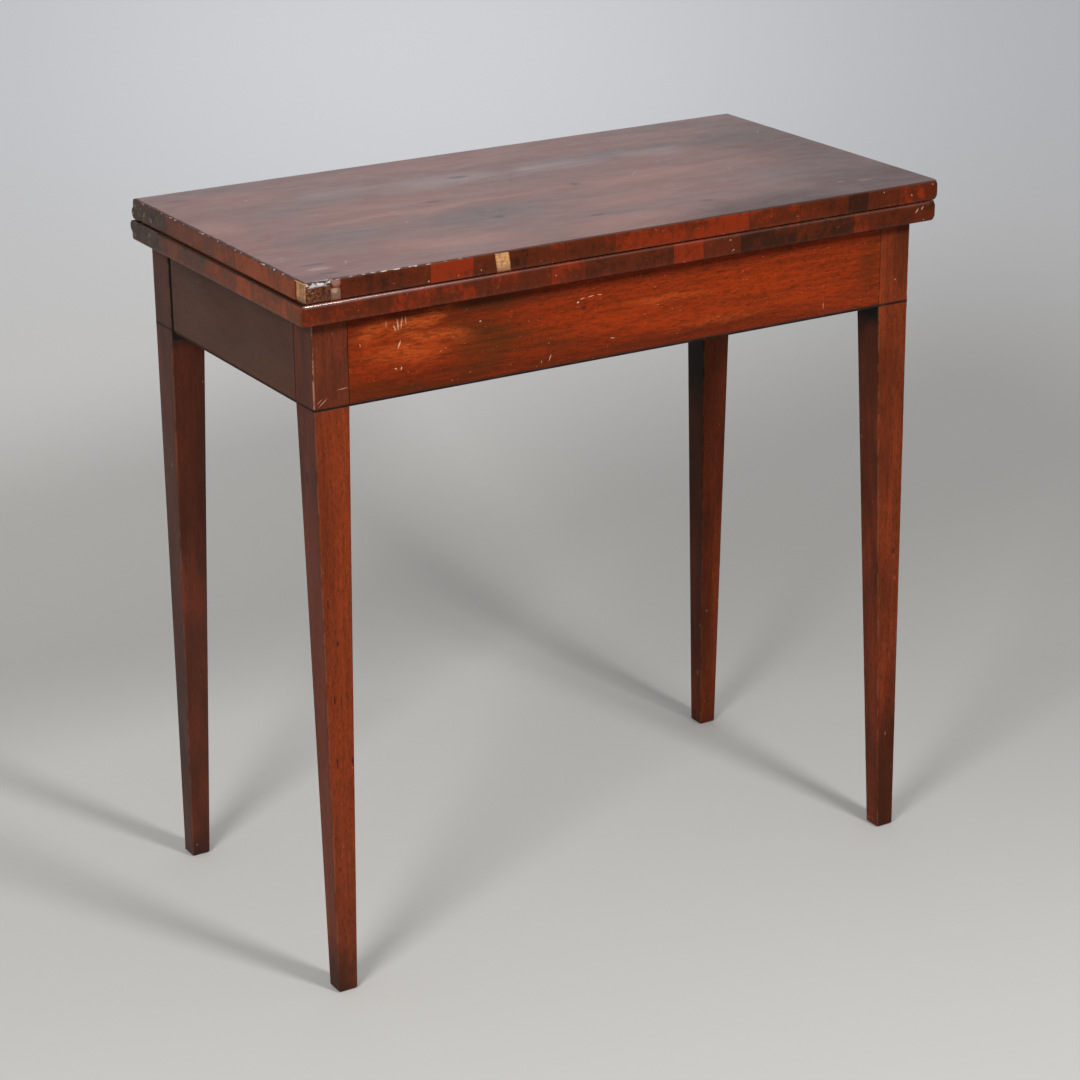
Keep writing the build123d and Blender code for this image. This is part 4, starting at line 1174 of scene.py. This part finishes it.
def top_mahogany():
    finish = Finish("top_mahogany")
    long_streak, fibre, pore = wood_grain(finish, "X", (5, 1, 4))[1:]
    figure = finish.noise((1.8, 13, 16), 2, shift=(2, 2, 0)).ramp(0.34, 0.66)
    finish.colour = finish.mix(figure * 0.5, top_middle, top_grey)
    finish.lay(finish.noise((6, 90, 110), 3, 0.6).ramp(0.3, 0.7) * 0.25, top_pink)
    bent = finish.wavering(0.05, 12)

    def patch(x, y, reach_x, reach_y, strength, tilt=0):
        """An oval patch with its place and reach in millimetres and its tilt in degrees."""
        place, reach = (x * mm, y * mm, upper.high), (reach_x * mm, reach_y * mm, 1)
        return finish.spot(place, reach, (0, 0, math.radians(tilt)), bent).ramp(0, 0.8, 0, strength)

    def stroke(x, y, to_x, to_y, width):
        """A straight mark from one place to another, in millimetres."""
        middle = ((x + to_x) / 2 * mm, (y + to_y) / 2 * mm, upper.high)
        reach = (math.hypot(to_x - x, to_y - y) / 2 * mm, width / 2 * mm, 1)
        return finish.spot(middle, reach, (0, 0, math.atan2(to_y - y, to_x - x))).ramp(0, 0.6)

    grain = long_streak.ramp(0, 1, 0.8, 1)
    patches = {
        top_pink: [
            (-150, -12, 220, 12, 0.9), (135, -12, 120, 26, 0.95, 4), (-345, 20, 40, 50, 0.8),
            (-178, -138, 120, 34, 0.85, -6), (10, -155, 90, 30, 0.7), (-290, 130, 100, 40, 0.7),
            (70, -80, 90, 32, 0.5), (290, -5, 90, 20, 0.4), (240, 150, 60, 30, 0.35),
            (-150, 30, 130, 24, 0.4), (-340, -40, 30, 60, 0.5), (-20, 150, 200, 40, 0.3)],
        top_brown: [
            (-370, -40, 140, 80, 0.85), (-350, 110, 130, 90, 0.7), (-300, -150, 120, 50, 0.6),
            (60, -190, 80, 30, 0.5)],
        top_grey: [
            (-96, -65, 115, 54, 1, 4), (134, 88, 240, 28, 0.95), (-200, 74, 75, 20, 0.55),
            (280, -85, 130, 70, 0.7, 6), (-258, -68, 90, 52, 0.75), (-275, 58, 70, 30, 0.6),
            (310, 85, 110, 50, 0.8), (280, -165, 150, 45, 0.85), (10, 50, 120, 30, 0.4),
            (-300, 172, 120, 16, 0.5), (280, 172, 180, 20, 0.7), (20, -125, 60, 16, 0.5),
            (340, -30, 50, 160, 0.6), (150, -170, 100, 30, 0.5)],
        top_pale: [
            (-60, 82, 100, 40, 1), (60, 78, 90, 36, 0.9), (190, 70, 70, 30, 0.7), (-185, 95, 60, 30, 0.5)]}
    for tone, rows in patches.items():
        finish.lay(finish.strongest(patch, rows) * grain, tone)
    shadow = finish.strongest(patch, [
        (350, -150, 170, 110, 0.9), (350, 20, 130, 200, 0.62), (180, -190, 170, 75, 1),
        (-350, -190, 60, 30, 0.4), (-80, -190, 50, 24, 0.3)])
    finish.lay(shadow, top_shadow)
    finish.lay((pore + fibre) * 0.08, top_shadow)
    light_marks = finish.strongest(stroke, [
        (109, -8, 134, 17, 1.4), (159, 27, 181, 42, 1.2), (209, -48, 221, -20, 1.6),
        (334, 84, 346, 99, 2.2), (-301, -153, -293, -140, 2.2), (-180, -50, -174, -43, 2.6),
        (-274, 117, -270, 122, 3.4), (-346, -101, -338, -104, 3.4), (-350, -112, -341, -113, 1.8),
        (-92, -48, -80, -50, 2.6), (-40, 76, -34, 85, 2.6), (272, -142, 284, -146, 4),
        (292, -150, 314, -153, 3.4), (-240, 21, -236, 40, 1), (-165, -160, -163, -178, 1.2),
        (24, 82, 48, 79, 3.4), (118, 4, 128, 14, 1), (-174, 20, -166, -30, 0.8), (345, 120, 352, 140, 1.2)])
    finish.lay(light_marks * 0.5, scratch_pale)
    bruise = finish.strongest(stroke, [
        (-345, -138, -308, -141, 9), (-345, -172, -315, -174, 7), (36, -3, 52, -3, 14),
        (-126, 13, -106, 10, 8), (-100, -80, -82, -77, 12), (-345, 156, -318, 152, 10),
        (-16, -125, 6, -124, 10), (108, -134, 130, -136, 10), (-60, 90, -26, 88, 14),
        (-21, 17, 21, 89, 1.4), (-15, 148, -2, 160, 1.2), (55, 120, 60, 140, 1.2), (320, -50, 345, -56, 12),
        (266, 105, 284, 100, 10)])
    crack = finish.strongest(stroke, [
        (218, 77, 262, 78.5, 2.6), (250, 78.5, 296, 76, 3), (0, 73.5, 200, 75.5, 1.4)])
    finish.lay(bruise * 0.65, bruise_dark)
    finish.lay(crack * 0.8, crack_dark)
    finish.lay(stroke(-347, -153, -312, -156, 12) * 0.6, ridge_pale)
    specks = finish.noise((210, 210, 1), 1, shift=(3, 7, 0)).ramp(0.775, 0.795)
    finish.lay(specks * 0.3, speck_pale)
    x, y = finish.along(1, 0, 0), finish.along(0, 1, 0)
    wavy = finish.noise((120, 120, 60), 2).ramp(0.3, 0.7, -0.0006, 0.0006)
    left_band = (x + wavy).ramp(upper.left + 0.0026, upper.left + 0.0046, 1, 0)
    front_band = (y + wavy).ramp(upper.front + 0.0008, upper.front + 0.0022, 0.75, 0)
    rim = finish.painted("rim").ramp(0.05, 0.45) | left_band | front_band
    finish.lay(rim * 0.85, rim_dark)
    left_rim = rim * x.ramp(upper.left + 0.0015, upper.left + 0.0025, 1, 0)
    front_rim = y.ramp(upper.front + 0.001, upper.front + 0.002, 1, 0) * x.ramp(-0.24, -0.18, 1, 0)
    # Pale frayed specks along the left rim, and painted glints along the front rim near the left corner.
    frayed = finish.noise((300, 240, 300), 2, shift=(1, 1, 5)).ramp(0.60, 0.66)
    painted_glints = finish.noise((140, 300, 300), 2, shift=(2, 8, 5)).ramp(0.52, 0.60)
    finish.lay((frayed * left_rim | painted_glints * front_rim) * 0.8, rim_specks_and_glints)
    chipped = finish.painted("chipped")
    finish.lay(chipped, chip_dark)
    finish.lay(finish.painted("bare"), bare_edge)
    roughness = finish.noise((26, 70, 10), 4, 0.6).ramp(0.3, 0.7, 0.30, 0.42)
    roughness = finish.mix(chipped, finish.mix(rim, roughness, (0.6, 0.6, 0.6)), (0.08, 0.08, 0.08))
    polish = finish.mix(chipped, finish.mix(rim, (0.3, 0.3, 0.3), (0, 0, 0)), (1, 1, 1))
    raised = finish.noise(500, 3, 0.65) * chipped * 5 + light_marks * 0.5
    sunk = bruise + crack + (fibre + pore)
    return finish.done(raised - sunk, roughness, specular=0.34, bump=0.22, coat=polish, coat_roughness=0.28)


top_sheet = saw_from(upper.blank, "top_sheet", [((0, 0, upper.band_top), (0, 0, -1))])
chip(top_sheet, top_chip_depth, lambda place, normal: place.z > upper.band_top + sheet_margin)
paint(top_sheet, "rim", lambda place, normal: upper.arris_share(place))
paint(top_sheet, "chipped", lambda place, normal: corner_chip(place) if normal.y < -0.1 else 0)
paint(top_sheet, "bare", lambda place, normal: 1 if place.y < upper.front + corner_loss
      and place.x < upper.left + corner_loss_wrap and normal.z < 0.8 else 0)
smooth(top_sheet, edge_smoothing)
top_sheet.data.materials.append(top_mahogany())
stand_in(top_sheet, upper.body, "upper_leaf_top_veneer")
throw_away(upper.blank, lower.blank)


# Borders of the faces that open
# Crossbanded mahogany round the cloth, mitred at the corners. The grain of the front and back strips runs
# across them. It has been shut away from the light, so it is redder and cleaner than the outside.
border_width = 0.045
hinge_border_width = 0.020
border_corner = 0.003
border_bevel = 0.00012


def border_mahogany():
    finish = Finish("border_mahogany")
    stains = (0.055, 0.014, 0.005), (0.170, 0.034, 0.010), (0.29, 0.062, 0.018)
    stain(finish, "X", (3, 6, 2), *stains)
    along_x = finish.colour
    stain(finish, "Y", (6, 3, 2), *stains)
    finish.colour = finish.mix(finish.painted("crosswise"), along_x, finish.colour)
    ring = finish.noise(30, 3, 0.6).ramp(0.6, 0.7)
    finish.lay(ring * 0.4, (0.04, 0.015, 0.008))
    # Dirt and painted shade: a near-black band at the ends of the border, where it lies in the gap between
    # the leaves.
    end_dirt_and_shade = (finish.along(1, 0, 0).ramp(lower.left + 0.003, lower.left + 0.005, 1, 0)
             | finish.along(-1, 0, 0).ramp(-lower.right + 0.003, -lower.right + 0.005, 1, 0))
    finish.lay(end_dirt_and_shade * 0.9, (0.012, 0.005, 0.003))
    return finish.done(finish.noise(700, 2), ring.ramp(0, 1, 0.32, 0.5), specular=0.4, bump=0.2)


border_wood = border_mahogany()


def model_border(leaf):
    """Four strips, each sawn from a slab by its inner edge and its two mitres."""
    low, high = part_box(leaf.name + "_border")
    slab = add_block("slab", low, high)
    wide, narrow = border_width, hinge_border_width
    front_right, back_left = (high.x, low.y, 0), (low.x, high.y, 0)
    chamfers = [((low.x + border_corner, low.y, 0), (-1, -1, 0)),
                ((high.x - border_corner, low.y, 0), (1, -1, 0))]
    strips = []
    for crosswise, inner, first_mitre, second_mitre in (
            (1, ((0, low.y + wide, 0), (0, 1, 0)), (low.xyz, (-1, 1, 0)), (front_right, (1, 1, 0))),
            (1, ((0, high.y - narrow, 0), (0, -1, 0)), (back_left, (-narrow, -wide, 0)),
             (high.xyz, (narrow, -wide, 0))),
            (0, ((low.x + wide, 0, 0), (1, 0, 0)), (low.xyz, (1, -1, 0)), (back_left, (narrow, wide, 0))),
            (0, ((high.x - wide, 0, 0), (-1, 0, 0)), (front_right, (-1, -1, 0)),
             (high.xyz, (-narrow, wide, 0)))):
        strip = saw_from(slab, "strip", [inner, first_mitre, second_mitre] + chamfers)
        open_for_edit(strip)
        bpy.ops.mesh.select_all(action="SELECT")
        bpy.ops.mesh.bevel(offset=border_bevel, segments=1, affect="EDGES")
        close_edit()
        paint(strip, "crosswise", lambda place, normal: crosswise)
        strips.append(strip)
    throw_away(slab)
    border = join(strips, leaf.name + "_cloth_border")
    border.data.materials.append(border_wood)
    stand_in(border, leaf.body, leaf.name + "_border")


model_border(upper)
model_border(lower)


# Green cloth
# A sheet of green baize is glued down inside each border, where the cards are played. It is faded, rubbed
# thin in places and spotted with old damp.
cloth_ease = 0.0003
cloth_nap = 0.00022
cloth_cuts_along = 127
cloth_cuts_across = 61
cloth_smoothing = 60


def green_baize():
    finish = Finish("green_baize")
    fibres = finish.noise(900, 3, 0.7)
    cloudy = finish.noise(9, 4, 0.6).ramp(0.35, 0.65)
    finish.colour = finish.mix(cloudy, (0.042, 0.135, 0.060), (0.070, 0.185, 0.085))
    finish.lay(fibres.ramp(0.35, 0.7, 0, 0.6), (0.022, 0.080, 0.034))
    finish.lay(finish.noise(22, 4, 0.7, (2, 4, 6)).ramp(0.60, 0.74) * 0.5, (0.17, 0.21, 0.11))
    finish.lay(finish.noise(12, 2, shift=(8, 1, 3)).ramp(0.66, 0.72) * 0.5, (0.030, 0.060, 0.028))
    finish.shader.inputs["Sheen Weight"].default_value = 0.3
    finish.shader.inputs["Sheen Roughness"].default_value = 0.6
    return finish.done(fibres, 0.95, specular=0.1, bump=0.7)


baize = green_baize()
nap = clouds("nap", 0.006)


def model_cloth(leaf):
    low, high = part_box(leaf.name + "_baize")
    show = low.z if leaf.far_sign > 0 else high.z
    cloth = add_block(leaf.name + "_cloth", low, high)
    open_for_edit(cloth)
    pick_faces(lambda middle, normal: abs(middle.z - show) < touching)
    bpy.ops.mesh.bevel(offset=cloth_ease, segments=2, affect="EDGES")
    divide(cloth_cuts_along, lambda middle, way: abs(way.x) > 0.5)
    divide(cloth_cuts_across, lambda middle, way: abs(way.y) > 0.25)
    close_edit()
    wear(cloth, lambda place, normal: 1 if abs(place.z - show) < touching else 0, cloth_nap, nap)
    smooth(cloth, cloth_smoothing)
    cloth.data.materials.append(baize)
    stand_in(cloth, leaf.body, leaf.name + "_baize")


model_cloth(upper)
model_cloth(lower)


# Link hinges
# Brass plates let into the ends of both leaves, joined by a loose link on two pins at each end. The brass is
# nearly black with age and bright only in scratches and where it is rubbed.
def tarnished_brass():
    finish = Finish("tarnished_brass")
    film = finish.noise(60, 4, 0.6).ramp(0.35, 0.65)
    finish.colour = finish.mix(film, (0.046, 0.028, 0.021), (0.085, 0.054, 0.040))
    scratches = finish.noise((900, 900, 90), 2, 0.6).ramp(0.66, 0.72)
    rubs = finish.noise(180, 3, 0.6, (3, 3, 1)).ramp(0.66, 0.74)
    bright = scratches * 0.6 | rubs
    finish.lay(bright, (0.55, 0.40, 0.20))
    return finish.done(film - scratches, bright.ramp(0, 1, 0.55, 0.28), specular=0.3,
                       metallic=bright.ramp(0, 1, 0.35, 1))


dress(tarnished_brass(), "upper_leaf_hinge_plates", "lower_leaf_hinge_plates", "leaf_hinge_links",
      "leaf_hinge_pins")
